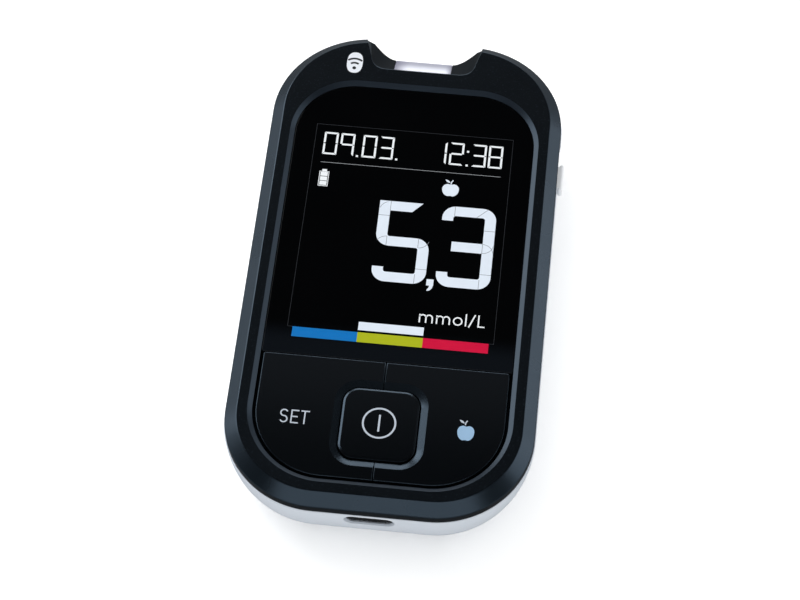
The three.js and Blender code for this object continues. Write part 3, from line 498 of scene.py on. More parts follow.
def combine(obj, others, operation):
    """Joins, cuts or intersects with other solids, which it uses up."""
    for other in others:
        modifier = obj.modifiers.new(operation.title(), "BOOLEAN")
        modifier.operation = operation
        modifier.solver = "MANIFOLD"
        modifier.object = other
    plain(obj)
    for other in others:
        bpy.data.objects.remove(other)
    if not obj.data.polygons:
        raise RuntimeError(f"{obj.name} is empty after {operation.lower()}")
    return obj


def cut(obj, *tools):
    return combine(obj, tools, "DIFFERENCE")


def join(obj, *others):
    return combine(obj, others, "UNION")


def common(obj, *others):
    return combine(obj, others, "INTERSECT")


def soften(obj, width, segments=3):
    """Rounds the sharp edges of a simple shape."""
    modifier = obj.modifiers.new("Soft edges", "BEVEL")
    modifier.width = width
    modifier.segments = segments
    modifier.limit_method = "ANGLE"
    modifier.angle_limit = math.radians(35)
    return plain(obj)


def settle(obj, body, *nodes, slot=None, finish=None, rule=None, smooth=32):
    """Finishes a shape, brings it from millimetres to metres, shades it and seats it on its body.

    A rule gives the index of each face's finish from the face's middle and its normal, in millimetres.
    """
    if finish:
        obj.data.materials.clear()
        for one in finish if isinstance(finish, (list, tuple)) else [finish]:
            obj.data.materials.append(one)
    if rule:
        for polygon in obj.data.polygons:
            polygon.material_index = rule(polygon.center, polygon.normal)
    obj.data.transform(Matrix.Scale(MM, 4))
    obj.data.shade_smooth()
    obj.data.set_sharp_from_angle(angle=math.radians(smooth))
    weighted = obj.modifiers.new("Flat faces stay flat", "WEIGHTED_NORMAL")
    weighted.keep_sharp = True
    plain(obj)
    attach(obj, body)
    if nodes:
        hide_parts(*nodes)
    return obj


def notch_outline(share, grow=0.0):
    """The notch's outline at a share of the way down from its lip to its foot."""
    halves = []
    for (flat, bend, knee, tip), out in ((LIP_SHAPE, (1.1, 3.7)), (FOOT_SHAPE, (1.0, 1.0))):
        a = np.array((flat[0] + grow, flat[1] - grow))
        b = np.array((bend[0] + grow, bend[1] - grow))
        c = np.array((knee[0] + grow, knee[1]))
        d = np.array((tip[0] + grow, tip[1]))
        t = np.linspace(0, 1, 21)[:, None]
        curve = (1 - t) ** 2 * a + 2 * t * (1 - t) * b + t**2 * c
        away = np.array(out) / math.hypot(*out) * FAR
        halves.append(np.vstack((curve, d, d + away)))
    half = halves[0] + (halves[1] - halves[0]) * share
    return np.vstack((half, half[::-1] * (-1, 1)))


def notch(name, grow=0.0, lip_round=0.0):
    """The notch as a cutting tool; its lip may be rounded."""
    run, rise = FOOT_Y - LIP_Y, RIM_TOP - PARTING
    rings = [(notch_outline(1, grow), -OVER), (notch_outline(1, grow), PARTING)]
    slope = math.atan2(rise, run)
    reach = lip_round * math.tan(slope / 2)
    for step in range(6 if lip_round else 0):
        angle = slope * (1 - step / 6)
        height = RIM_TOP - lip_round * (1 - math.cos(angle))
        ramp = (RIM_TOP - height) * run / rise
        extra = ramp - (lip_round * math.sin(angle) - reach)
        rings.append((notch_outline((RIM_TOP - height) / rise, grow + extra), height))
    rings.append((notch_outline(0, grow + reach), RIM_TOP))
    rings.append((notch_outline(0, grow + reach), RIM_TOP + OVER))
    return loft(name, [level(plan, z) for plan, z in rings])


def belly(name, gap, rise=0.0, edge=0.0):
    """The boat-shaped back, taken in by a gap, with a rounded edge at the parting line if wanted."""
    steps = 24
    rings = []
    for step in range(steps, -1, -1):
        turn = step / steps * math.pi / 2
        taper = BELLY_INSET * (1 - math.cos(turn)) + gap - PROUD
        rings.append((taper, PARTING - (PARTING - gap) * math.sin(turn)))
    if edge:
        rings[-1] = (rings[-1][0], PARTING - edge)
        for step in range(1, 5):
            turn = step / 4 * math.pi / 2
            rings.append((edge * (1 - math.cos(turn)) + gap - PROUD, PARTING - edge * (1 - math.sin(turn))))
    if rise:
        rings.append((gap - PROUD, PARTING + rise))
    return loft(name, [level(outline(inset(CASE, taper)), z) for taper, z in rings])


# Node trees
class Value:
    """A number that changes over a surface; an expression on it adds its own Math nodes."""

    def __init__(self, tree, socket):
        self.tree = tree
        self.socket = socket

    def _math(self, operation, *values):
        node = self.tree.node("ShaderNodeMath", {"operation": operation}, dict(enumerate(values)))
        return Value(self.tree, node.outputs[0])

    def __add__(self, other):
        return self._math("ADD", self, other)

    __radd__ = __add__

    def __sub__(self, other):
        return self._math("SUBTRACT", self, other)

    def __rsub__(self, other):
        return self._math("SUBTRACT", other, self)

    def __mul__(self, other):
        return self._math("MULTIPLY", self, other)

    __rmul__ = __mul__

    def clamped(self):
        node = self.tree.node("ShaderNodeClamp", {}, {"Value": self})
        return Value(self.tree, node.outputs[0])

    def between(self, low, high):
        """Rises smoothly from 0 at low to 1 at high."""
        inputs = {"Value": self, "From Min": low, "From Max": high}
        node = self.tree.node("ShaderNodeMapRange", {"interpolation_type": "SMOOTHSTEP"}, inputs)
        return Value(self.tree, node.outputs[0])

    def size(self):
        return self._math("ABSOLUTE", self)


class Tree:
    """A node tree whose nodes all come from one method."""

    def __init__(self, tree):
        self.tree = tree

    def node(self, kind, settings, inputs):
        """A node of a type, with its settings and the values or links of its sockets."""
        node = self.tree.nodes.new(kind)
        for label, value in settings.items():
            if label == "stops":
                for stop, (place, color) in zip(node.color_ramp.elements, value):
                    stop.position = place
                    stop.color = color
            else:
                setattr(node, label, value)
        for key, value in inputs.items():
            self.put(node.inputs[key], value)
        return node

    def put(self, socket, value):
        if isinstance(value, Value):
            value = value.socket
        if isinstance(value, bpy.types.NodeSocket):
            self.tree.links.new(value, socket)
        else:
            socket.default_value = value

    def shader(self, kind, **inputs):
        """The shader that a node with these inputs gives."""
        return self.node(kind, {}, inputs).outputs[0]

    def either(self, share, first, second):
        """One shader or another, by a share."""
        return self.node("ShaderNodeMixShader", {}, {0: share, 1: first, 2: second}).outputs[0]


def emptied(owner):
    """The emptied shader tree of a material or a world."""
    owner.use_nodes = True
    owner.node_tree.nodes.clear()
    return owner.node_tree


# Repeats, by geometry nodes
def tree_of(name, sizes):
    """A geometry tree with named inputs, the sockets that they come from, and its output node."""
    group = bpy.data.node_groups.new(name, "GeometryNodeTree")
    for label, kind, value in (("Geometry", "Geometry", None), *sizes, ("Material", "Material", None)):
        item = group.interface.new_socket(label, in_out="INPUT", socket_type=f"NodeSocket{kind}")
        if value is not None:
            item.default_value = value
    group.interface.new_socket("Geometry", in_out="OUTPUT", socket_type="NodeSocketGeometry")
    tree = Tree(group)
    return tree, tree.node("NodeGroupInput", {}, {}).outputs, tree.node("NodeGroupOutput", {}, {})


def set_inputs(modifier, **values):
    for item in modifier.node_group.interface.items_tree:
        if item.item_type == "SOCKET" and item.in_out == "INPUT" and item.name in values:
            modifier[item.identifier] = values[item.name]


def closed(tree, start, end, geometry):
    """Realizes the instances, sets the material and closes the tree."""
    real = tree.node("GeometryNodeRealizeInstances", {}, {"Geometry": geometry}).outputs["Geometry"]
    inputs = {"Geometry": real, "Material": start["Material"]}
    tree.put(end.inputs["Geometry"], tree.node("GeometryNodeSetMaterial", {}, inputs).outputs["Geometry"])
    return tree.tree


def spread(tree, start, end, points):
    """Puts a copy of the unit at every point and closes the tree."""
    unit = tree.node("GeometryNodeObjectInfo", {}, {"Object": start["Unit"]}).outputs["Geometry"]
    copies = tree.node("GeometryNodeInstanceOnPoints", {}, {"Points": points, "Instance": unit})
    return closed(tree, start, end, copies.outputs["Instances"])


def copies_tree():
    """Copies of one object at every point of the geometry that comes in."""
    tree, start, end = tree_of("Copies at points", [("Unit", "Object", None)])
    return spread(tree, start, end, start["Geometry"])


def row_tree():
    """A row of copies of one object, from a start, a step apart."""
    kinds = {"Unit": "Object", "Count": "Int", "Start": "Vector", "Step": "Vector"}
    tree, start, end = tree_of("Row of copies", [(label, kind, None) for label, kind in kinds.items()])
    inputs = {"Count": start["Count"], "Start Location": start["Start"], "Offset": start["Step"]}
    return spread(tree, start, end, tree.node("GeometryNodeMeshLine", {}, inputs).outputs["Mesh"])


def coil_tree():
    """Wire wound about Z from one radius to another."""
    sizes = (("Turns", 4.0), ("Start Radius", 3.2), ("End Radius", 1.9), ("Height", 3.5), ("Wire", 0.3))
    tree, start, end = tree_of("Wound wire", [(label, "Float", value) for label, value in sizes])
    inputs = {label: start[label] for label in ("Start Radius", "End Radius", "Height")}
    inputs |= {"Resolution": 40, "Rotations": start["Turns"]}
    spiral = tree.node("GeometryNodeCurveSpiral", {}, inputs).outputs["Curve"]
    inputs = {"Resolution": 12, "Radius": start["Wire"]}
    ring = tree.node("GeometryNodeCurvePrimitiveCircle", {}, inputs).outputs["Curve"]
    inputs = {"Curve": spiral, "Profile Curve": ring, "Fill Caps": True}
    return closed(tree, start, end, tree.node("GeometryNodeCurveToMesh", {}, inputs).outputs["Mesh"])


def grown(name, points, tree, **values):
    """A plain mesh made by a tree from the given points."""
    mesh = bpy.data.meshes.new(name)
    mesh.from_pydata([tuple(p) for p in points], [], [])
    obj = bpy.data.objects.new(name, mesh)
    bpy.context.scene.collection.objects.link(obj)
    modifier = obj.modifiers.new("Repeat", "NODES")
    modifier.node_group = tree
    set_inputs(modifier, **values)
    plain(obj)
    if not obj.data.polygons:
        raise RuntimeError(f"{name} came out empty")
    return obj


# Finishes
class Finish(Tree):
    """A node material about one Principled shader."""

    def __init__(self, name, color, roughness, metallic=0.0, **fixed):
        self.material = bpy.data.materials.new(name)
        super().__init__(emptied(self.material))
        self.principled = self.node("ShaderNodeBsdfPrincipled", {}, {})
        end = self.node("ShaderNodeOutputMaterial", {}, {"Surface": self.principled.outputs[0]})
        end.is_active_output = True
        self.color = (*color, 1.0)
        self.set("Base Color", self.color)
        self.set("Roughness", roughness)
        self.set("Metallic", metallic)
        for label, value in fixed.items():
            self.set(label.replace("_", " ").title().replace("Ior", "IOR"), value)
        self.material.diffuse_color = self.color

    def set(self, label, value):
        self.put(self.principled.inputs[label], value)

    def place(self):
        """The surface's own X, Y and Z, in millimetres."""
        if not hasattr(self, "axes"):
            inputs = {0: self.node("ShaderNodeTexCoord", {}, {}).outputs["Object"], "Scale": 1 / MM}
            scaled = self.node("ShaderNodeVectorMath", {"operation": "SCALE"}, inputs)
            parts = self.node("ShaderNodeSeparateXYZ", {}, {0: scaled.outputs[0]})
            self.vector = scaled.outputs[0]
            self.axes = [Value(self, output) for output in parts.outputs]
        return self.axes

    def noise(self, scale, detail=2.0, stretch=None):
        """Soft random values about one half, with the scale in features to the millimetre."""
        self.place()
        vector = self.vector
        if stretch:
            vector = self.node("ShaderNodeMapping", {}, {"Vector": vector, "Scale": stretch}).outputs[0]
        inputs = {"Vector": vector, "Scale": scale, "Detail": detail}
        return Value(self, self.node("ShaderNodeTexNoise", {}, inputs).outputs[0])

    def mix(self, share, first, second):
        inputs = {0: share, 6: first, 7: second}
        return self.node("ShaderNodeMix", {"data_type": "RGBA"}, inputs).outputs[2]

    def shade(self, factor):
        """The finish's own colour times a factor."""
        return tuple(min(1.0, c * factor) for c in self.color[:3]) + (1.0,)

    def bump(self, height, distance, strength=1.0):
        inputs = {"Height": height, "Distance": distance * MM, "Strength": strength}
        self.set("Normal", self.node("ShaderNodeBump", {}, inputs).outputs[0])


def moulded(name, color, roughness, grain=6.0, depth=0.004, spread=0.06, **fixed):
    """Moulded plastic: fine grain, slight mottling of colour and gloss."""
    finish = Finish(name, color, roughness, **fixed)
    fine = finish.noise(grain, 3.0)
    broad = finish.noise(0.12, 2.0)
    finish.set("Base Color", finish.mix(broad, finish.shade(1 - spread), finish.shade(1 + spread)))
    finish.set("Roughness", roughness + (broad - 0.5) * 0.08 + (fine - 0.5) * 0.05)
    finish.bump(fine, depth)
    return finish


def metal(name, color, roughness, stretch=(1.0, 1.0, 1.0)):
    """Drawn or stamped metal: fine lines along one axis and cloudy gloss."""
    finish = Finish(name, color, roughness, 1.0)
    lines = finish.noise(4.0, 4.0, stretch)
    cloud = finish.noise(0.4, 2.0)
    finish.set("Base Color", finish.mix(cloud, finish.shade(0.9), finish.shade(1.06)))
    finish.set("Roughness", roughness + (lines - 0.5) * 0.16 + (cloud - 0.5) * 0.1)
    finish.bump(lines, 0.003)
    return finish


def grained_rim(settings):
    """Matt black plastic with a fine spark-eroded grain and pale specks."""
    finish = Finish("rim_grain", settings.rim_color, 0.5, specular_ior_level=0.12, specular_tint=SHEEN)
    grain = finish.noise(4.0, 3.0)
    specks = finish.noise(2.6, 1.0).between(0.6, 0.72)
    broad = finish.noise(0.1, 2.0)
    mottled = finish.mix(broad, finish.shade(0.7), finish.shade(1.4))
    finish.set("Base Color", finish.mix(specks, mottled, finish.shade(3.4)))
    finish.set("Roughness", 0.5 + (grain - 0.5) * 0.2)
    finish.bump(grain, 0.02, 0.7)
    return finish


def satin(name, color, roughness=0.3, **fixed):
    """Satin plastic of a smoother tool face, with a soft change of gloss and a bluish sheen."""
    finish = Finish(name, color, roughness, specular_tint=SHEEN, **fixed)
    fine = finish.noise(4.0, 2.0)
    broad = finish.noise(0.08, 2.0)
    finish.set("Base Color", finish.mix(broad, finish.shade(0.85), finish.shade(1.15)))
    finish.set("Roughness", roughness + (broad - 0.5) * 0.08)
    finish.bump(fine, 0.003)
    return finish


def key_plastic(settings):
    """Charcoal key plastic with painted shading: darker towards the near end, lighter towards the display."""
    finish = Finish("key_charcoal", settings.key_color, 0.3, specular_ior_level=0.28, specular_tint=SHEEN)
    _, y, _ = finish.place()
    # Painted shade and light: the keys' colour runs from about a third of it at the near end to half as much
    # again towards the display.
    rise = y.between(-46.0, -22.0)
    fine = finish.noise(6.0, 2.0)
    finish.set("Base Color", finish.mix(rise, finish.shade(0.35), finish.shade(1.5)))
    finish.set("Roughness", 0.3 + (fine - 0.5) * 0.06)
    finish.bump(fine, 0.003)
    return finish


def window_black():
    """Polished window, printed black from behind."""
    finish = Finish("window_black", (0.0009, 0.001, 0.0012), 0.06, specular_ior_level=0.3)
    _, y, _ = finish.place()
    broad = finish.noise(0.05, 1.0)
    below_scale = 1 - y.between(-20.5, -15.0)
    dark = finish.mix(broad, finish.shade(0.8), finish.shade(1.3))
    finish.set("Roughness", 0.05 + broad * 0.03)
    finish.set("Base Color", finish.mix(below_scale, dark, (0.0042, 0.0055, 0.0075, 1.0)))
    return finish


def port_with_painted_light(color):
    """Translucent white strip guide with painted light and shade: it glows faintly and is pale in its middle
    and towards its near edge, and turns dark violet-grey towards both ends and its far edge.
    """
    finish = Finish("port_white", color, 0.28)
    x, y, _ = finish.place()
    middle = x.between(-6.4, -2.5) * (1 - 0.8 * x.between(4.4, 6.1))
    front = 1 - y.between(45.2, 49.2)
    # Painted light and shade: one mask makes the guide pale and faintly glowing in its middle and towards its
    # near edge. It turns dark violet-grey towards both ends, where the notch walls shade it, and towards its
    # far edge.
    painted_glow_and_shade = (middle * (0.25 + 0.75 * front)).clamped()
    finish.set("Base Color", finish.mix(painted_glow_and_shade, (0.26, 0.25, 0.34, 1.0), finish.color))
    finish.set("Emission Color", finish.mix(painted_glow_and_shade, (0.0, 0.0, 0.0, 1.0), (0.9, 0.95, 1.0, 1.0)))
    finish.set("Emission Strength", 0.25)
    finish.bump(finish.noise(3.0, 2.0), 0.004)
    return finish


def segment_print(name, color, roughness=0.12):
    """Flat print or lit segment, with a slight unevenness."""
    finish = Finish(name, color, roughness)
    even = finish.noise(0.5, 1.0)
    finish.set("Base Color", finish.mix(even, finish.shade(0.96), finish.shade(1.04)))
    finish.set("Roughness", roughness + even * 0.02)
    return finish


def board_finish():
    """Green solder mask over faint tracks."""
    finish = Finish("board_green", (0.02, 0.13, 0.07), 0.32)
    tracks = finish.noise(0.8, 0.0, (1.0, 6.0, 1.0)).between(0.48, 0.54)
    finish.set("Base Color", finish.mix(tracks, finish.shade(0.8), finish.shade(1.5)))
    finish.bump(tracks, 0.02)
    return finish


def sleeve_finish():
    """Printed sleeve of a cell without lettering: dark, with a copper band at its positive end."""
    finish = Finish("cell_sleeve", (0.035, 0.04, 0.05), 0.3, 0.4)
    _, y, _ = finish.place()
    ends = (y - CELL_MIDDLE).size().between(12.9, 13.1)
    finish.set("Base Color", finish.mix(ends, (0.42, 0.19, 0.06, 1.0), finish.color))
    finish.set("Roughness", 0.28 + finish.noise(0.8, 2.0) * 0.1)
    return finish


def circle(steps):
    turns = np.linspace(0, 2 * math.pi, steps, endpoint=False)
    return np.column_stack((np.cos(turns), np.sin(turns)))


class Print:
    """Thin printed shapes, gathered as closed prisms in the plane of a face."""

    def __init__(self, height, proud=0.012):
        self.low = height - 0.004
        self.high = height + proud
        self.points = []
        self.faces = []

    def _add(self, plan):
        base = len(self.points)
        self.points += [(x, y, self.low) for x, y in plan]
        self.points += [(x, y, self.high) for x, y in plan]
        return base, len(plan)

    def patch(self, plan):
        """A filled simple outline, counter-clockwise."""
        base, count = self._add(plan)
        self.faces.append(tuple(base + i for i in reversed(range(count))))
        self.faces.append(tuple(base + count + i for i in range(count)))
        for i in range(count):
            j = (i + 1) % count
            self.faces.append((base + i, base + j, base + count + j, base + count + i))

    def bar(self, x0, x1, y0, y1):
        self.patch([(x0, y0), (x1, y0), (x1, y1), (x0, y1)])

    def band(self, left, right, closed=False):
        """A strip between two lines of equal numbers of points."""
        first, count = self._add(left)
        second, _ = self._add(right)
        for i in range(count if closed else count - 1):
            j = (i + 1) % count
            self.faces += [
                (first + count + i, first + count + j, second + count + j, second + count + i),
                (first + j, first + i, second + i, second + j),
                (first + i, first + j, first + count + j, first + count + i),
                (second + j, second + i, second + count + i, second + count + j),
            ]
        if not closed:
            end = count - 1
            self.faces.append((first, first + count, second + count, second))
            self.faces.append((second + end, second + count + end, first + count + end, first + end))

    def stroke(self, path, width, radii=None, steps=6, slant=0.0):
        """A line of even width along a path whose corners may be rounded; slant leans its first end."""
        if radii:
            path = eased(path, radii, steps, support=0)
        path = np.array(path, float)
        ahead = np.diff(path, axis=0)
        ahead /= np.linalg.norm(ahead, axis=1)[:, None]
        left, right = [], []
        for i, point in enumerate(path):
            before = ahead[max(i - 1, 0)]
            after = ahead[min(i, len(ahead) - 1)]
            middle = before + after
            middle /= np.linalg.norm(middle)
            side = np.array((-middle[1], middle[0]))
            reach = width / 2 / max(0.3, float(middle @ after))
            left.append(point + side * reach)
            right.append(point - side * reach)
        left[0] = left[0] + ahead[0] * slant
        right[0] = right[0] - ahead[0] * slant
        self.band(left, right)

    def ring(self, x, y, radius, width):
        inner, outer = ((x, y) + circle(64) * edge for edge in about(radius, width / 2))
        self.band(inner, outer, closed=True)

    def disc(self, x, y, radius):
        self.patch([tuple(point) for point in (x, y) + circle(48) * radius])

    def made(self, name, body, finish):
        return settle(mesh_object(name, self.points, self.faces), body, finish=finish)


def small_figure(ink, figure, x, y, stroke):
    """A seven-segment figure with mitred segments, from its lower left corner."""
    width, height, gap = 2.85, 5.35, 0.06
    half = height / 2
    reach = stroke / 2

    def across(level_y, shape):
        left, right = gap, width - gap
        if shape:
            inner = level_y - shape * stroke
            plan = [(left, level_y), (right, level_y), (right - stroke, inner), (left + stroke, inner)]
            return plan[::-1] if shape > 0 else plan
        return [
            (left + stroke, level_y - reach),
            (right - stroke, level_y - reach),
            (right - 0.5 * stroke, level_y),
            (right - stroke, level_y + reach),
            (left + stroke, level_y + reach),
            (left + 0.5 * stroke, level_y),
        ]

    def upright(side, upper):
        outer = width if side > 0 else 0.0
        inner = width - stroke if side > 0 else stroke
        low, high = (half + gap, height - gap) if upper else (gap, half - gap)
        low_in = low + (0.5 * reach if upper else stroke)
        high_in = high - (stroke if upper else 0.5 * reach)
        plan = [(outer, low), (outer, high), (inner, high_in), (inner, low_in)]
        return plan if side > 0 else plan[::-1]

    shapes = {
        "a": across(height, 1),
        "d": across(0.0, -1),
        "g": across(half, 0),
        "b": upright(1, True),
        "c": upright(1, False),
        "e": upright(-1, False),
        "f": upright(-1, True),
    }
    for segment in SEGMENTS[figure]:
        ink.patch([(x + px, y + py) for px, py in shapes[segment]])


def apple_body(ink, x, y, size=1.0, squash=1.0):
    """A plain whole apple about 3.3 wide, broad at the shoulders, from its lowest point."""
    body = []
    for turn in np.linspace(0, 2 * math.pi, 80, endpoint=False):
        across, up = math.cos(turn), math.sin(turn)
        px = math.copysign(abs(across) ** 0.8, across) * 1.65
        py = math.copysign(abs(up) ** 0.8, up) * 1.5
        px *= 1 + 0.07 * py - 0.03 * py * py
        dip = 0.22 if up > 0 else -0.16
        py -= dip * math.exp(-((px / 0.42) ** 2))
        body.append((x + px * size, y + (py + 1.5) * size * squash))
    ink.patch(body)


def apple_leaf(ink, x, y, size=1.0):
    """The apple's stalk and its one leaf."""
    stalk = [(0.0, 2.85), (0.02, 3.25), (0.14, 3.55), (0.36, 3.85)]
    ink.stroke([(x + px * size, y + py * size) for px, py in stalk], 0.24 * size)
    leaf = []
    for side in (1, -1):
        for share in np.linspace(0, 1, 9)[:-1]:
            along = share if side > 0 else 1 - share
            swell = side * math.sin(math.pi * along)
            leaf.append((-0.12 - 1.1 * along + 0.1 * swell, 3.2 + 0.72 * along + 0.2 * swell))
    ink.patch([(x + px * size, y + py * size) for px, py in leaf])


def arc(x, y, radius, start, end, squash=1.0, steps=14):
    """Points on part of a circle or an upright oval, by angles in degrees."""
    turns = np.radians(np.linspace(start, end, steps))
    return [(x + radius * math.cos(t), y + radius * squash * math.sin(t)) for t in turns]


def letter(ink, name, x, y, height, stroke):
    """One thin sans letter or mark, from the middle of its first stroke. Returns its width."""
    half = stroke / 2
    lower = height * 0.7
    low, high = y + half, y + height - half
    if name == "m":
        wide = height * 0.92
        ink.stroke([(x, y), (x, y + lower)], stroke)
        radius = wide / 4
        for start in (x, x + wide / 2):
            crown = arc(start + radius, y + lower - half - radius, radius, 165, 0)
            ink.stroke(crown + [(start + 2 * radius, y)], stroke)
        return wide
    if name == "o":
        radius = lower / 2 - half
        ink.ring(x + radius, y + lower / 2, radius, stroke)
        return 2 * radius
    if name == "l":
        ink.stroke([(x, y), (x, y + height)], stroke)
        return 0.0
    if name == "/":
        ink.stroke([(x, y - 0.06 * height), (x + height * 0.42, y + height)], stroke)
        return height * 0.42
    if name == "L":
        ink.stroke([(x, y + height), (x, low), (x + height * 0.46, low)], stroke)
        return height * 0.46
    if name == "T":
        ink.stroke([(x - half, high), (x + height * 0.52, high)], stroke)
        ink.stroke([(x + height * 0.26 - half, y), (x + height * 0.26 - half, high - half)], stroke)
        return height * 0.52
    if name == "E":
        middle, right = (low + high) / 2, x + height * 0.48
        ink.stroke([(right, high), (x, high), (x, low), (right, low)], stroke)
        ink.stroke([(x + half, middle), (right - 0.06 * height, middle)], stroke)
        return height * 0.48
    if name == "S":
        radius = (high - low) / 4
        wide = 0.23 * height
        upper = arc(x + wide, high - radius, wide, 25, 270, radius / wide, 24)
        under = arc(x + wide, low + radius, wide, 90, -155, radius / wide, 24)
        ink.stroke(upper + under[1:], stroke)
        return 2 * wide
    raise RuntimeError(f"no sign is drawn for {name}")


class StageOperator(bpy.types.Operator):
    """Makes the pale floor, the soft lamps, the surroundings and the camera"""

    bl_idname = "meter.stage"
    bl_label = "Stage"

    def execute(self, context):
        settings = context.scene.meter_studio
        self.floor(settings)
        self.surroundings(settings)
        for name, (place, width, height, mirrored) in LAMPS.items():
            brightness = getattr(settings, name.split("_")[0] + "_light")
            self.lamp(name, place, width, height, brightness, mirrored)
        camera_data = bpy.data.cameras.new("camera")
        camera_data.lens = settings.lens
        camera_data.sensor_width = 36
        camera_data.clip_start = 0.01
        camera_data.clip_end = 20
        camera = bpy.data.objects.new("camera", camera_data)
        context.scene.collection.objects.link(camera)
        forward = Vector(CAMERA_AHEAD).normalized()
        right = forward.cross(Vector(CAMERA_UP).normalized()).normalized()
        turn = Matrix((right, right.cross(forward), -forward)).transposed().to_4x4()
        camera.matrix_world = Matrix.Translation(CAMERA_PLACE) @ turn
        context.scene.camera = camera
        context.scene.view_settings.view_transform = "Standard"
        return {"FINISHED"}

    def lamp(self, name, place, width, height, brightness, mirrored):
        """A flat soft lamp that faces the meter."""
        data = bpy.data.lights.new(name, "AREA")
        data.shape = "RECTANGLE"
        data.size = width
        data.size_y = height
        data.energy = math.pi * width * height * brightness
        data.color = LAMP_COLOR
        lamp = bpy.data.objects.new(name, data)
        lamp.location = place
        lamp.rotation_mode = "QUATERNION"
        lamp.rotation_quaternion = (-Vector(place)).to_track_quat("-Z", "Y")
        lamp.visible_glossy = mirrored
        lamp.visible_diffuse = not mirrored
        bpy.context.scene.collection.objects.link(lamp)

    def floor(self, settings):
        """A floor that is paler to the camera than to the meter, dim when mirrored and clear from below."""
        low, high = about(0, FLOOR_HALF)
        corners = [(x, y, -FLOOR_DEPTH) for x, y in ((low, low), (high, low), (high, high), (low, high))]
        mesh = bpy.data.meshes.new("floor")
        mesh.from_pydata(corners, [], [(0, 1, 2, 3)])
        floor = bpy.data.objects.new("floor", mesh)
        bpy.context.scene.collection.objects.link(floor)
        material = bpy.data.materials.new("studio_floor")
        tree = Tree(emptied(material))
        rays = tree.node("ShaderNodeLightPath", {}, {}).outputs
        color = settings.floor_color
        paper = tree.shader("ShaderNodeBsdfDiffuse", Color=(*color, 1))
        more = tree.shader("ShaderNodeBsdfDiffuse", Color=(*(c * settings.floor_lift for c in color), 1))
        lifted = tree.node("ShaderNodeAddShader", {}, {0: paper, 1: more}).outputs[0]
        white = tree.either(rays["Is Camera Ray"], paper, lifted)
        dim = tree.shader("ShaderNodeEmission", Color=HORIZON_COLOR, Strength=settings.floor_mirror)
        lit = tree.either(rays["Is Glossy Ray"], white, dim)
        below = tree.node("ShaderNodeNewGeometry", {}, {}).outputs["Backfacing"]
        surface = tree.either(below, lit, tree.shader("ShaderNodeBsdfTransparent"))
        tree.node("ShaderNodeOutputMaterial", {}, {"Surface": surface})
        floor.data.materials.append(material)

    def surroundings(self, settings):
        """White behind the meter, even light on it, a bright horizon under a dim ceiling in reflections."""
        world = bpy.data.worlds.new("studio")
        bpy.context.scene.world = world
        tree = Tree(emptied(world))
        rays = tree.node("ShaderNodeLightPath", {}, {}).outputs
        direction = tree.node("ShaderNodeTexCoord", {}, {}).outputs["Generated"]
        height = tree.node("ShaderNodeSeparateXYZ", {}, {0: direction}).outputs["Z"]
        stops = ((0.07, HORIZON_COLOR), (0.2, CEILING_COLOR))
        sky = tree.node("ShaderNodeValToRGB", {"stops": stops}, {0: height}).outputs[0]
        mirrored = tree.shader("ShaderNodeBackground", Color=sky, Strength=settings.horizon)
        white = tree.shader("ShaderNodeBackground", Color=WHITE)
        even = tree.shader("ShaderNodeBackground", Color=EVEN_COLOR, Strength=settings.sky_light)
        inputs = {0: rays["Is Camera Ray"], 1: rays["Is Transmission Ray"]}
        eye = tree.node("ShaderNodeMath", {"operation": "MAXIMUM"}, inputs).outputs[0]
        surface = tree.either(rays["Is Glossy Ray"], tree.either(eye, even, white), mirrored)
        tree.node("ShaderNodeOutputWorld", {}, {"Surface": surface})


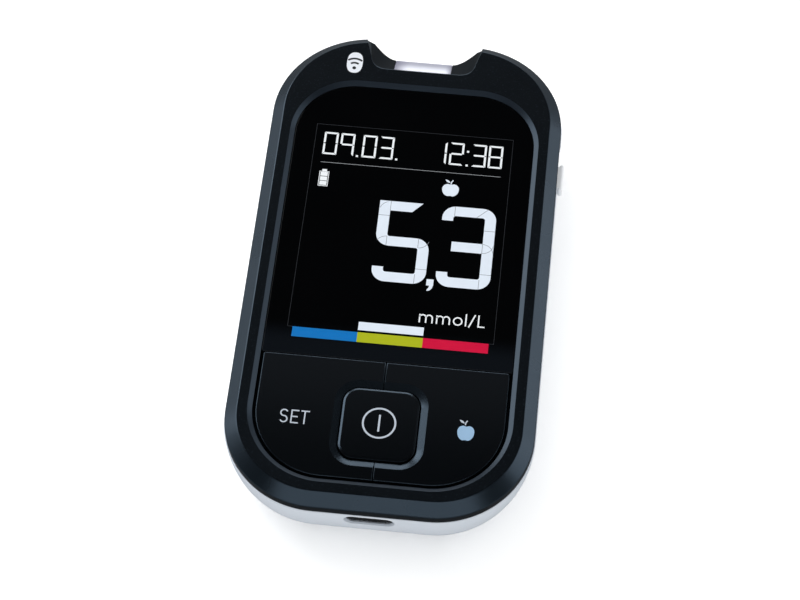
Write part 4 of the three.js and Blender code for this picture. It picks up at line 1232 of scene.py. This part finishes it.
class BezelOperator(bpy.types.Operator):
    """Makes the black upper shell with its chamfer, grained rim, inner bevel and finger notch"""

    bl_idname = "meter.bezel"
    bl_label = "Upper shell"

    def execute(self, context):
        settings = context.scene.meter_casing
        steps = context.scene.meter_studio.corner_steps
        edge = settings.edge_round / MM
        wide, drop = settings.chamfer_width / MM, settings.chamfer_drop / MM
        bevel = settings.bevel_width / MM
        band = RIM_TOP - drop
        outer = eased([(0, PARTING), (0, band), (wide, RIM_TOP), (wide + 0.9, RIM_TOP)], [edge, edge])
        inner = eased([(-0.6, RIM_TOP), (0, RIM_TOP), (bevel, LENS_TOP), (bevel, DECK_TOP)], [0.14, 0.1])
        rings = [level(outline(inset(CASE, i), steps), z) for i, z in outer]
        rings += [level(outline(inset(OPENING, i), steps), z) for i, z in inner]
        shell = loft("bezel", rings)

        pocket = inset(OPENING, bevel)
        core = outline(inset(pocket, -CORE_WALL), steps)
        hollow = [level(outline(inset(CASE, WALL), steps), z) for z in (PARTING - OVER, band - WALL / 2)]
        taken = WALL + (ROOF_UNDER - band + WALL / 2) * wide / drop
        hollow.append(level(outline(inset(CASE, taken), steps), ROOF_UNDER))
        hollow += [level(core, ROOF_UNDER), level(core, DECK_LOW)]
        cavity = cut(loft("cavity", hollow), notch("notch_wall", WALL))

        deck = (DECK_LOW - OVER, DECK_TOP + OVER)
        low, high = span("lcd_cell")
        tools = [
            cavity,
            notch("notch_cut", lip_round=0.4),
            block("window_cut", (low.x - GAP, high.x + GAP), (low.y - GAP, high.y + GAP), deck),
            block("port_cut", about(0, PORT_HALF), (LIP_Y, FAR), (PARTING - OVER, RIM_TOP + OVER)),
        ]
        for x, y in ((0, POWER_Y), (-WING_STEM_X, WING_STEM_Y), (WING_STEM_X, WING_STEM_Y)):
            tools.append(post("stem_cut", x, y, STEM_RADIUS + GAP, *deck))
        for x, y in leg_places():
            tools.append(block("leg_cut", about(x, LEG_HALF_X + GAP), about(y, LEG_HALF_Y + GAP), deck))
        cut(shell, *tools)

        mouth = inset(OPENING, -0.4)
        rim, chamfer, around_window, side = range(4)

        def rule(centre, normal):
            if normal.z > FLAT and centre.z > RIM_TOP - 0.15:
                return rim
            if centre.z > LENS_TOP - 0.4 and inside(mouth, centre.x, centre.y):
                return around_window
            in_notch = centre.y > LIP_Y - 1 and abs(centre.x) < LIP_SHAPE[-1][0] and normal.z < FLAT
            if in_notch and centre.z > RIM_TOP - 0.3 and normal.z > 0.3:
                return chamfer
            return side if in_notch or abs(normal.z) < 0.3 else chamfer

        finishes = [
            grained_rim(settings).material,
            satin("chamfer_satin", settings.chamfer_color, 0.28, specular_ior_level=0.85).material,
            # The bevel's satin has a painted reflection: a lighter colour than the rim and the chamfer of the
            # same black shell.
            satin("bevel_satin", settings.bevel_color_painted_reflection, 0.3, specular_ior_level=0.6).material,
            satin("side_satin", settings.rim_color, 0.45, specular_ior_level=0.12).material,
        ]
        settle(shell, CASE_BODY, "upper_shell", slot="black_shell", finish=finishes, rule=rule)
        self.badge()
        return {"FINISHED"}

    def badge(self):
        """A white oval on the rim with a plain sign for a radio link, a dot under two arcs."""
        x, y = -14.0, 45.75
        oval = Print(RIM_TOP)
        around = np.sign(circle(64)) * np.abs(circle(64)) ** 0.8 * (1.63, 2.55)
        oval.patch([(x + px, y + py) for px, py in around])
        oval.made("radio_badge", CASE_BODY, segment_print("badge_white", (0.8, 0.82, 0.86), 0.35).material)
        sign = Print(RIM_TOP, proud=0.02)
        foot_y = y - 1.35
        sign.disc(x, foot_y, 0.38)
        for radius in (1.3, 2.35):
            sign.stroke(arc(x, foot_y, radius, 128, 52), 0.42)
        black = segment_print("badge_black", (0.004, 0.005, 0.007), 0.4).material
        sign.made("radio_sign", CASE_BODY, black)


def leg_places():
    """Places of the keys' retaining legs in plan."""
    beside = POWER[0] - 2.45
    outer = (21.08, -28.0)
    inner = (11.35, -43.88)
    middle = [(-beside, POWER_Y), (beside, POWER_Y)]
    return middle + [(side * x, y) for side in (-1, 1) for x, y in (outer, inner)]


class BackShellOperator(bpy.types.Operator):
    """Makes the white boat-shaped back with its bay, openings and recess"""

    bl_idname = "meter.back_shell"
    bl_label = "Back shell"

    def execute(self, context):
        settings = context.scene.meter_casing
        shell = belly("back", 0.0, edge=0.14)
        hollow = belly("hollow", WALL, rise=OVER)
        seat = block("seat", about(0, 14.5), (-FAR, DOOR_FAR + 1.2), (-OVER, DOOR_LIP + 1.5))
        cut(seat, belly("seat_inside", SEAT_LOW + WALL, rise=OVER))
        walls = about(0, BAY_HALF + BAY_WALL)
        kept = [
            seat,
            notch("notch_keep", WALL),
            block("bay_walls", walls, (BAY_NEAR - BAY_WALL, BAY_FAR + BAY_WALL), (-OVER, ROOF_TOP)),
            block("spring_post", SPRING_X, (36.25, 37.45), (-OVER, ROOF_TOP)),
        ]
        kept += [post("boss", x, y, 3.3, -OVER, 8.7) for x, y in SCREWS]
        cut(hollow, *kept)

        zone = block("door_zone", about(0, DOOR_HALF + GAP), (-FAR, DOOR_FAR + GAP), (-FAR, DOOR_LIP + GAP))
        space = common(cut(belly("door_space", -OVER), belly("door_floor", SEAT_LOW)), zone)
        mouth = [(0.0, -51.2), (0.0, -53.55), (0.03, -53.65), (0.12, -53.78), (0.14, -60.0)]
        tools = [
            hollow,
            notch("notch_cut"),
            space,
            block("groove", about(0, 13.6), (-FAR, DOOR_FAR + GAP), (0.65, SEAT_LOW)),
            block("bay", about(0, BAY_HALF), (BAY_NEAR, BAY_FAR), (DOOR_SINK, ROOF_LOW)),
            along_y("mouth", [(stadium(MOUTH_HALF, i, SOCKET_Z), y) for i, y in mouth]),
            block("slide_slot", (27.6, FAR), (22.2, 32.3), (13.05, PARTING + OVER)),
            block("port_cut", about(0, PORT_HALF), (44.75, FAR), (10.4, PARTING + OVER)),
            slab("plate_recess", (12.7, 18.2, 39.6, 1.7, 1.7), -OVER, 0.25, steps=12),
        ]
        for x, y in SCREWS:
            tools.append(post("well", x, y, 2.3, -OVER, 4.5))
            tools.append(post("shank_hole", x, y, 1.2, 0, 9.7, 32))
        for x in (-CELL_X, CELL_X):
            tools.append(block("tab_slot", about(x, 1.7), (11.3, BAY_FAR), (ROOF_LOW - 0.1, ROOF_TOP + OVER)))
        cut(shell, *tools)
        white = moulded("back_white", settings.back_color, 0.36, grain=5.0, depth=0.003, spread=0.015)
        settle(shell, CASE_BODY, "lower_shell", slot="white_shell", finish=white.material)
        return {"FINISHED"}


class DoorOperator(bpy.types.Operator):
    """Makes the sliding battery door with its grip grooves and tongues"""

    bl_idname = "meter.battery_door"
    bl_label = "Battery door"

    def execute(self, context):
        zone = block("door_zone", about(0, DOOR_HALF), (-FAR, DOOR_FAR), (-OVER, DOOR_LIP))
        door = common(cut(belly("door_cover", DOOR_SINK), belly("door_inside", DOOR_TOP)), zone)
        for side in (-1, 1):
            join(door, block("tongue", about(side * DOOR_HALF, 0.9), (-43.3, DOOR_FAR - 1.0), (0.9, 1.5)))
        unit = slab("groove_unit", (5.0, -0.4, 0.4, 0.39, 0.39), 0.0, DOOR_SINK + 0.35, steps=8)
        values = {"Unit": unit, "Count": 4, "Start": (0, -41.2, 0), "Step": (0, 1.8, 0)}
        grooves = grown("grip_grooves", [(0, 0, 0)], row_tree(), **values)
        bpy.data.objects.remove(unit)
        cut(door, grooves)
        color = context.scene.meter_casing.back_color
        white = moulded("door_white", [c * 0.97 for c in color], 0.4, grain=5.0, depth=0.004, spread=0.02)
        settle(door, "battery_door", "battery_door", slot="door_white", finish=white.material)
        return {"FINISHED"}


class WindowOperator(bpy.types.Operator):
    """Makes the polished window and everything that the display shows"""

    bl_idname = "meter.window"
    bl_label = "Window and display"

    def execute(self, context):
        settings = context.scene.meter_display
        low, high = span("display_lens")
        plan = (high.x, low.y, high.y, 0.25, 11.93)
        window = slab("window", plan, LENS_LOW, LENS_TOP, rounding=0.12)
        settle(window, CASE_BODY, "display_lens", slot="window_black", finish=window_black().material)
        self.reading(settings)
        self.small_signs(settings)
        self.display_line()
        self.scale(settings)
        return {"FINISHED"}

    def display_line(self):
        """The fine line round the display, open where the scale is."""
        lines = Print(LENS_TOP)
        left, right, high = -19.9, 20.03, 30.42
        corners = [(left, high), (right, high), (right, SCALE_TOP), (SCALE_ENDS[-1], SCALE_TOP)]
        lines.stroke([(left, SCALE_TOP), *corners], FINE_LINE)
        lines.stroke([(left, SCALE_TOP), (SCALE_ENDS[0], SCALE_TOP)], FINE_LINE)
        edge = segment_print("window_line", (0.028, 0.03, 0.034)).material
        lines.made("window_outline", CASE_BODY, edge)

    def reading(self, settings):
        """The large figures, whose segments meet at fine dark seams."""
        stroke = settings.digit_stroke / MM
        half, bend = stroke / 2, 1.6
        wide, high, base = 10.7, 18.5, -4.975
        middle, curl, end = high / 2, 3.31, 15.13
        right, upper = wide - half, high - half
        first, second = -5.165, 7.47
        turns = [(right, half), (half, half), (half, curl)]
        five = [(7.6, upper), (half, upper), (half, middle), (right, middle), *turns]
        three = [(half, end), (half, upper), (right, upper), *turns]
        ink = Print(LENS_TOP)
        bends = [bend] * 4
        for x, path, radii, slant in ((first, five, [0, *bends], 1.03), (second, three, bends, 0)):
            ink.stroke([(x + px, base + py) for px, py in path], stroke, radii, 8, slant)
        ink.bar(second + 2.39, second + wide - stroke + 0.02, base + middle - half, base + middle + half)
        comma = [(5.8, -3.62), (5.8, -5.05), (6.42, -5.05), (6.3, -5.6), (6.02, -5.95), (6.02, -6.3)]
        comma += [(6.6, -6.1), (7.0, -5.6), (7.18, -4.9), (7.18, -3.62)]
        ink.patch(comma)
        ink.bar(SCALE_ENDS[1], SCALE_ENDS[2], SCALE_TOP + 0.48, SCALE_TOP + 2.3)
        apple_body(ink, 8.48, 15.74)
        apple_leaf(ink, 8.48, 15.74)
        ink.made("display_reading", CASE_BODY, segment_print("segment_pale", settings.sign_color).material)

        fine = Print(LENS_TOP, proud=0.018)
        join_x, reach, lower_y, bar_low = wide - stroke, 2.15, 3.4, middle - half
        seams = {
            first: [
                [(stroke, high - stroke), (stroke, high)],
                [(0, 15.1), (stroke, 15.1)],
                [(stroke, bar_low), (stroke, middle + half)],
                [(join_x, bar_low), (join_x, middle + half)],
                arc(stroke, high - 2.3, reach, 165, 105),
                arc(stroke, bar_low, reach, 150, 90),
                arc(join_x, middle + half, reach, -90, -15),
            ],
            second: [
                [(stroke + 0.2, high - stroke), (stroke + 0.2, high)],
                [(6.8, high - stroke), (9.0, high - 0.1)],
                [(join_x, 13.4), (wide, 13.4)],
                [(join_x, bar_low), (join_x, middle + half)],
                arc(join_x, bar_low, reach, 90, 8),
                arc(join_x, middle + half, reach, -90, -8),
            ],
        }
        for x, paths in seams.items():
            for path in paths + [[(join_x, lower_y), (wide, lower_y)], [(join_x, 0.02), (join_x, stroke)]]:
                fine.stroke([(x + px, base + py) for px, py in path], FINE_LINE)
        fine.made("segment_seams", CASE_BODY, segment_print("segment_seam", (0.2, 0.21, 0.23)).material)

    def small_signs(self, settings):
        """The date, the time, the battery sign, the unit and the thin rule."""
        small = settings.small_stroke / MM
        ink = Print(LENS_TOP)
        base, low = 23.27, 23.2
        row = {-18.1: "0", -14.7: "9", -10.17: "0", -6.7: "3", 4.05: "1", 7.5: "2", 12.05: "3", 15.36: "8"}
        for x, figure in row.items():
            small_figure(ink, figure, x, base, small)
        for x, y in ((-11.26, low), (-3.31, low), (10.94, low), (10.94, low + 3.3)):
            ink.bar(x, x + small + 0.04, y, y + small + 0.04)
        self.battery_sign(ink, -18.0, 15.72)
        x = 5.3
        for name, gap in (("m", 0.87), ("m", 0.8), ("o", 0.76), ("l", 0.62), ("/", 0.7), ("L", 0.0)):
            x += letter(ink, name, x, -13.37, 2.68, 0.27) + gap
        ink.made("display_signs", CASE_BODY, segment_print("segment_white", (0.9, 0.92, 0.93)).material)
        rule = Print(LENS_TOP)
        rule.bar(-18.15, 18.15, 21.3, 21.4)
        grey = segment_print("display_rule_grey", (0.32, 0.33, 0.34)).material
        rule.made("display_rule", CASE_BODY, grey)

    def battery_sign(self, ink, x, y):
        """A full cell in outline, from its lower left corner."""
        line = 0.13
        ink.stroke([(x, y), (x + 1.84, y), (x + 1.84, y + 3.4), (x, y + 3.4), (x, y - line / 2)], line)
        ink.bar(x + 0.45, x + 1.39, y + 3.47, y + 3.95)
        for share in range(3):
            ink.bar(x + 0.2, x + 1.64, y + 0.2 + 1.07 * share, y + 1.13 + 1.07 * share)

    def scale(self, settings):
        """The three coloured bars of the scale."""
        colors = (settings.low_color, settings.normal_color, settings.high_color)
        for label, color, x0, x1 in zip(("low", "normal", "high"), colors, SCALE_ENDS, SCALE_ENDS[1:]):
            bar = Print(LENS_TOP)
            bar.bar(x0, x1, SCALE_TOP - SCALE_HEIGHT, SCALE_TOP)
            finish = segment_print(f"scale_{label}_colour", color).material
            bar.made(f"scale_{label}", CASE_BODY, finish)


class KeysOperator(bpy.types.Operator):
    """Makes the two wing keys, the power key and the signs on them"""

    bl_idname = "meter.keys"
    bl_label = "Keys"

    def execute(self, context):
        settings = context.scene.meter_keys
        black = key_plastic(settings).material
        edge = satin("key_edge_satin", settings.edge_color, 0.27, specular_ior_level=1.0).material

        def rule(centre, normal):
            return 1 if 0.1 < normal.z < FLAT and centre.z > LENS_TOP - 1.2 else 0

        rounding = settings.edge_round / MM
        for name, side, body in (("set_wing", -1, "set_key"), ("meal_wing", 1, "meal_key")):
            path = eased([(0, KEY_LOW), (0, LENS_TOP), (2.0, LENS_TOP)], [rounding], 3, 0.04)
            wing = loft(name, [level(self.wing_plan(i, side), z) for i, z in path])
            cut(wing, self.recess(settings))
            places = [place for place in leg_places()[2:] if place[0] * side > 0]
            self.legs(wing, side * WING_STEM_X, WING_STEM_Y, places)
            settle(wing, body, body, slot="key_black", finish=[black, edge], rule=rule)
        radius = settings.power_round / MM
        slope = [(0, KEY_LOW), (0, LENS_TOP - 0.2), (0.45, LENS_TOP), (2.0, LENS_TOP)]
        path = eased(slope, [radius * 0.6, radius], 4, 0.04)
        power = loft("power_cap", [level(outline(inset(POWER, i), 20), z) for i, z in path])
        self.legs(power, 0, POWER_Y, leg_places()[:2])

        # Painted highlight: only the power key's edges that face left and away get the shiny satin, so that
        # highlights show on those sides alone. Its other edges keep the plain key plastic.
        def power_highlight_rule(centre, normal):
            return rule(centre, normal) if normal.y > -0.2 and normal.x < 0.2 else 0

        settle(power, "power_key", "power_key", slot="key_black", finish=[black, edge], rule=power_highlight_rule)
        self.signs(settings)
        return {"FINISHED"}

    def wing_plan(self, gap, side):
        """One half of the keypad's outline, taken in by a gap on every side."""
        left, right, near, far, radius, far_radius = WING
        x0, x1, y0, y1 = left + gap, right - gap, near + gap, far - gap
        radius -= gap
        turns = np.linspace(0, math.pi / 2, 40)
        bend = np.column_stack((x1 - radius + radius * np.sin(turns), y0 + radius - radius * np.cos(turns)))
        corner = max(far_radius - gap, 0.05)
        turns = np.linspace(0, math.pi / 2, 7)
        tip = np.column_stack((x1 - corner + corner * np.cos(turns), y1 - corner + corner * np.sin(turns)))
        plan = np.vstack(((x0, y0), bend, tip, (x0, y1)))
        return plan if side > 0 else plan[::-1] * (-1, 1)

    def recess(self, settings):
        """The slope round the power key as a cutting tool."""
        drop, throat, margin = settings.recess_drop / MM, -0.25, -1.65
        slope = [(throat, LENS_TOP - drop), (margin, LENS_TOP), (margin - 1, LENS_TOP)]
        path = eased([(throat, DECK_TOP), *slope], [0.08, 0.2], 4, 0)[:-1]
        path.append((path[-1][0], RIM_TOP))
        return loft("recess_cut", [level(outline(inset(POWER, i), 20), z) for i, z in path])

    def legs(self, key, x, y, places):
        """Joins the key's stem and its hooked legs to it."""
        reach = KEY_LOW + 0.1
        parts = [post("stem", x, y, STEM_RADIUS, STEM_LOW, reach, 32)]
        for leg_x, leg_y in places:
            wide = about(leg_x, LEG_HALF_X)
            parts.append(block("leg", wide, about(leg_y, LEG_HALF_Y), (LEG_LOW, reach)))
            parts.append(block("barb", wide, (leg_y - 0.4, leg_y + 1.3), (15.86, 16.3)))
        join(key, *parts)

    def signs(self, settings):
        """The signs printed on the three keys."""
        pale = segment_print("key_print", settings.sign_color, 0.3).material
        power = Print(LENS_TOP)
        power.ring(0.0, POWER_Y + 0.25, 3.07, 0.36)
        power.stroke([(0.0, POWER_Y - 1.55), (0.0, POWER_Y + 2.0)], 0.36)
        power.made("power_sign", "power_key", pale)
        words = Print(LENS_TOP)
        x = -18.72
        for name, gap in (("S", 0.78), ("E", 0.52), ("T", 0.0)):
            x += letter(words, name, x, -37.42, 2.85, 0.26) + gap
        words.made("set_sign", "set_key", pale)
        fruit = Print(LENS_TOP)
        apple_body(fruit, 16.42, -37.8, 0.96, 1.12)
        blue = segment_print("meal_print", (0.3, 0.47, 0.66), 0.3).material
        fruit.made("meal_sign", "meal_key", blue)
        leaf = Print(LENS_TOP)
        apple_leaf(leaf, 16.22, -37.25, 0.96)
        leaf.made("meal_sign_leaf", "meal_key", pale)


class PortOperator(bpy.types.Operator):
    """Makes the strip guide in the notch, with its painted glow and shade"""

    bl_idname = "meter.strip_guide"
    bl_label = "Strip guide"

    def execute(self, context):
        low, high = span("strip_port")
        profile = [(low.y, low.z), (high.y, low.z), (high.y, PARTING), (low.y, high.z)]
        points = [(x, y, z) for x in (low.x, high.x) for y, z in profile]
        faces = [(3, 2, 1, 0), (4, 5, 6, 7)] + [(i, (i + 1) % 4, (i + 1) % 4 + 4, i + 4) for i in range(4)]
        guide = soften(mesh_object("strip_guide", points, faces), 0.22, 4)
        cut(guide, block("slot", (-3.7, 3.7), (low.y - OVER, high.y + OVER), (12.3, 13.6)))
        # The guide's finish carries painted glow and shade.
        painted_glow_and_shade = port_with_painted_light((0.9, 0.9, 0.97)).material
        settle(guide, CASE_BODY, "strip_port", slot="port_white", finish=painted_glow_and_shade)
        return {"FINISHED"}


class EjectorOperator(bpy.types.Operator):
    """Makes the slider that pushes a used strip out"""

    bl_idname = "meter.ejector"
    bl_label = "Eject slider"

    def execute(self, context):
        middle, rise = 25.0, (13.3, 15.9)
        knob = soften(block("ejector", (29.86, 30.7), about(middle, 3.0), rise), 0.34, 5)
        parts = [
            block("neck", (27.4, 30.3), about(middle, 2.5), (13.35, 15.85)),
            block("cover", (27.38, 27.82), (17.5, 29.5), rise),
            block("arm", (-1.5, 27.6), about(middle, 1.25), (12.8, 13.9)),
            block("prong", about(0, 1.5), (23.76, 33.65), (12.4, 13.0)),
            block("pad", SPRING_X, about(middle, 1.24), (11.6, 13.89)),
        ]
        join(knob, *parts)
        look = {"grain": 5.0, "depth": 0.003, "spread": 0.01, "specular_ior_level": 0.1}
        white = moulded("slider_white", (0.96, 0.972, 0.984), 0.5, **look)
        settle(knob, "eject_slider", "eject_slider", slot="white_shell", finish=white.material)
        return {"FINISHED"}


class SocketOperator(bpy.types.Operator):
    """Makes the metal receptacle in the near end with its tongue and contact pads"""

    bl_idname = "meter.socket"
    bl_label = "Charging socket"

    def execute(self, context):
        low, high = span("usb_shell")
        centre = (low.z + high.z) / 2
        near, far = low.y, high.y
        path = [(0.3, near), (0.1, near + 0.02), (0.02, near + 0.12), (0, near + 0.4), (0, far)]
        tube = along_y("charging_socket", [(stadium(SOCKET_HALF, -i, centre), y) for i, y in path])
        inner = [(0.16, near - OVER), (0.16, near - 0.01), (0.3, near + 0.3), (0.3, far - 0.5)]
        cut(tube, along_y("socket_inside", [(stadium(SOCKET_HALF, -i, centre), y) for i, y in inner]))
        steel = metal("socket_steel", (0.55, 0.56, 0.58), 0.26, (1.0, 8.0, 1.0))
        settle(tube, CASE_BODY, "usb_shell", slot="steel", finish=steel.material)

        back = far - 0.65
        base = along_y("socket_core", [(stadium(CORE_HALF, 0, centre), y) for y in (back - 1.4, back)])
        tongue = block("tongue", about(0, 3.3), (near + 1.0, back - 0.2), about(centre, 0.35))
        join(base, soften(tongue, 0.12))
        dark = moulded("core_plastic", (0.012, 0.012, 0.014), 0.45, spread=0.1)
        settle(base, CASE_BODY, "usb_tongue", slot="dark_plastic", finish=dark.material)

        unit = block("pad_unit", about(0, 0.13), (near + 1.2, near + 3.6), about(0, 0.36))
        gold = metal("pad_gold", GOLD, 0.25, (1.0, 6.0, 1.0)).material
        values = {"Unit": unit, "Count": 12, "Start": (-2.75, 0, centre), "Step": (0.5, 0, 0)}
        pads = grown("socket_pads", [(0, 0, 0)], row_tree(), Material=gold, **values)
        bpy.data.objects.remove(unit)
        settle(pads, CASE_BODY, slot="gold_contact")
        return {"FINISHED"}


class BatteriesOperator(bpy.types.Operator):
    """Makes the two cells and the spring and plate contacts of their bay"""

    bl_idname = "meter.batteries"
    bl_label = "Batteries and contacts"

    def execute(self, context):
        sleeve = sleeve_finish().material
        tin = metal("cell_ends", (0.62, 0.63, 0.65), 0.3).material
        for name, node, flip in (("cell_right", "battery_1", 1), ("cell_left", "battery_2", -1)):
            low, high = span(node)
            cell = turned(name, self.cell_profile(high.y - low.y))
            start = low.y if flip > 0 else high.y
            spin = Matrix.Rotation(-flip * math.pi / 2, 4, "X")
            cell.data.transform(Matrix.Translation(((low.x + high.x) / 2, start, CELL_AXIS)) @ spin)

            def rule(centre, normal):
                along = (centre.y - low.y) if flip > 0 else (high.y - centre.y)
                return 1 if along < 0.35 or along > high.y - low.y - 1.5 else 0

            settle(cell, CASE_BODY, node, slot="cell_sleeve", finish=[sleeve, tin], rule=rule)
        self.contacts()
        return {"FINISHED"}

    def cell_profile(self, length):
        """Radius and height of a cell's outline, from its flat end to its button."""
        shoulder = length - 1.0
        flat_end = [(0, 0), (3.6, 0), (3.7, 0.12), (4.6, 0.12)]
        flat_end += [(4.85, 0.02), (5.05, 0.08), (5.2, 0.28), (5.25, 0.5)]
        crimp = [(5.25, -1.1), (5.19, -0.9), (5.19, -0.7), (5.25, -0.45), (5.2, -0.15), (5.0, 0), (4.3, 0)]
        crimp += [(4.15, -0.12), (2.0, -0.12), (1.9, 0.05)]
        button = [(1.9, -0.2), (1.82, -0.05), (1.65, 0), (0, 0)]
        parts = ((flat_end, 0.0), (crimp, shoulder), (button, length))
        return [(radius, start + z) for points, start in parts for radius, z in points]

    def contacts(self):
        """The plates and springs that the cells touch."""
        steel = metal("contact_steel", (0.66, 0.67, 0.69), 0.24, (1.0, 1.0, 6.0)).material
        wire = metal("spring_wire", (0.6, 0.61, 0.63), 0.22).material
        near, far = -37.4, 11.5
        near_y, far_y = (near - CONTACT_THICKNESS, near), (far, far + CONTACT_THICKNESS)
        tree = coil_tree()
        sizes = {"Turns": 4.0, "Start Radius": 3.2, "End Radius": 1.9, "Height": 3.5, "Wire": 0.3}
        for name, node, x_ends, y_ends, tab, coil in (
            ("bay_bridge", "bridge_contact", about(0, CONTACT_X), near_y, None, (CELL_X, near, -1)),
            ("bay_plus", "positive_contact", (1.15, CONTACT_X), far_y, CELL_X, None),
            ("bay_minus", "negative_contact", (-CONTACT_X, -1.15), far_y, -CELL_X, (-CELL_X, far, 1)),
        ):
            plate = soften(block(name, x_ends, y_ends, (3.5, 12.7)), 0.1, 2)
            if tab is not None:
                join(plate, block("tab", about(tab, 1.5), (y_ends[0] + 0.01, y_ends[1] - 0.01), (8, 14.1)))
            settle(plate, CASE_BODY, node, slot="steel", finish=steel)
            if coil:
                x, y, turn = coil
                spring = grown(f"{name}_spring", [(0, 0, 0)], tree, Material=wire, **sizes)
                spin = Matrix.Rotation(turn * math.pi / 2, 4, "X")
                spring.data.transform(Matrix.Translation((x, y, CELL_AXIS)) @ spin)
                settle(spring, CASE_BODY, slot="steel")


class ScrewsOperator(bpy.types.Operator):
    """Makes the four case screws from one screw, in their wells in the back"""

    bl_idname = "meter.screws"
    bl_label = "Case screws"

    def execute(self, context):
        head = [(0, -1.3), (1.2, -1.3), (1.55, -1.18), (1.8, -0.85), (1.9, -0.4), (1.9, -0.1), (1.84, 0)]
        unit = turned("screw_unit", head + [(1.0, 0), (1.0, 7.4), (0.0, 8.4)], 40)
        arm, half = 1.05, 0.26
        cut(
            unit,
            block("cross_a", (-arm, arm), (-half, half), (-2.0, -0.6)),
            block("cross_b", (-half, half), (-arm, arm), (-2.0, -0.6)),
        )
        steel = metal("screw_steel", (0.34, 0.35, 0.37), 0.3).material
        places = [(x, y, SCREW_Z) for x, y in SCREWS]
        screws = grown("case_screws", places, copies_tree(), Unit=unit, Material=steel)
        bpy.data.objects.remove(unit)
        settle(screws, CASE_BODY, *four("case_screw"), slot="steel")
        return {"FINISHED"}


class InnerPartsOperator(bpy.types.Operator):
    """Finishes the frame's own pieces: the display stack, the board and what it carries"""

    bl_idname = "meter.inner_parts"
    bl_label = "Inner parts"

    def execute(self, context):
        glass = moulded("display_glass", (0.02, 0.024, 0.03), 0.08, grain=2.0, depth=0.0005)
        holder = moulded("holder_plastic", (0.6, 0.61, 0.62), 0.5)
        guide = moulded("guide_clear", (0.7, 0.75, 0.79), 0.15, grain=1.0, depth=0.001)
        rubber = moulded("zebra_rubber", (0.03, 0.03, 0.033), 0.8, grain=3.0, depth=0.01)
        lamp = moulded("lamp_resin", (0.8, 0.76, 0.42), 0.3)
        chip = moulded("chip_resin", (0.018, 0.018, 0.02), 0.55, grain=8.0, depth=0.008)
        dark = moulded("dark_moulding", (0.02, 0.02, 0.022), 0.5)
        film = moulded("plate_film", (0.6, 0.62, 0.65), 0.42, grain=3.0, depth=0.002, spread=0.02)
        tin = metal("shield_tin", (0.6, 0.61, 0.62), 0.35, (1.0, 6.0, 1.0))
        dome = metal("dome_steel", (0.7, 0.71, 0.72), 0.2)
        gold = metal("contact_gold", GOLD, 0.25, (1.0, 6.0, 1.0))
        finishes = {
            glass: ["lcd_cell"],
            holder: ["lcd_frame"],
            guide: ["backlight_guide"],
            rubber: ["zebra_strip"],
            lamp: ["backlight_led_1", "backlight_led_2", "backlight_led_3", "port_led_1", "port_led_2"],
            board_finish(): ["main_board"],
            chip: ["processor_chip", "analog_chip"],
            tin: ["radio_module", "clock_crystal"],
            dark: ["buzzer", "strip_connector"],
            film: ["rating_plate"],
            dome: ["power_dome", "set_dome", "meal_dome", "eject_spring", *four("board_screw")],
            gold: four("strip_contact"),
        }
        for finish, names in finishes.items():
            for name in names:
                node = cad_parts[name]
                node.data.materials.clear()
                node.data.materials.append(finish.material)
        return {"FINISHED"}


OPERATORS = (
    StageOperator,
    BezelOperator,
    BackShellOperator,
    DoorOperator,
    WindowOperator,
    KeysOperator,
    PortOperator,
    EjectorOperator,
    SocketOperator,
    BatteriesOperator,
    ScrewsOperator,
    InnerPartsOperator,
)


class MeterPanel(bpy.types.Panel):
    """Lists the steps that build the meter"""

    bl_idname = "METER_PT_panel"
    bl_label = "Blood glucose meter"
    bl_space_type = "VIEW_3D"
    bl_region_type = "UI"
    bl_category = "Meter"

    def draw(self, context):
        for name in GROUPS:
            settings = getattr(context.scene, name)
            box = self.layout.box()
            box.label(text=name.replace("_", " ").title())
            for label in settings.bl_rna.properties.keys():
                if label not in ("rna_type", "name"):
                    box.prop(settings, label)
        for operator in OPERATORS:
            self.layout.operator(operator.bl_idname)


GROUPS = {
    "meter_casing": MeterCasing,
    "meter_display": MeterDisplay,
    "meter_keys": MeterKeys,
    "meter_studio": MeterStudio,
}


def register():
    for one in (*GROUPS.values(), *OPERATORS, MeterPanel):
        bpy.utils.register_class(one)
    for name, group in GROUPS.items():
        setattr(bpy.types.Scene, name, PointerProperty(type=group))


def unregister():
    for name in GROUPS:
        delattr(bpy.types.Scene, name)
    for one in reversed((*GROUPS.values(), *OPERATORS, MeterPanel)):
        bpy.utils.unregister_class(one)


def main():
    register()
    for operator in OPERATORS:
        getattr(bpy.ops.meter, operator.bl_idname.split(".")[1])()


if __name__ == "__main__":
    main()
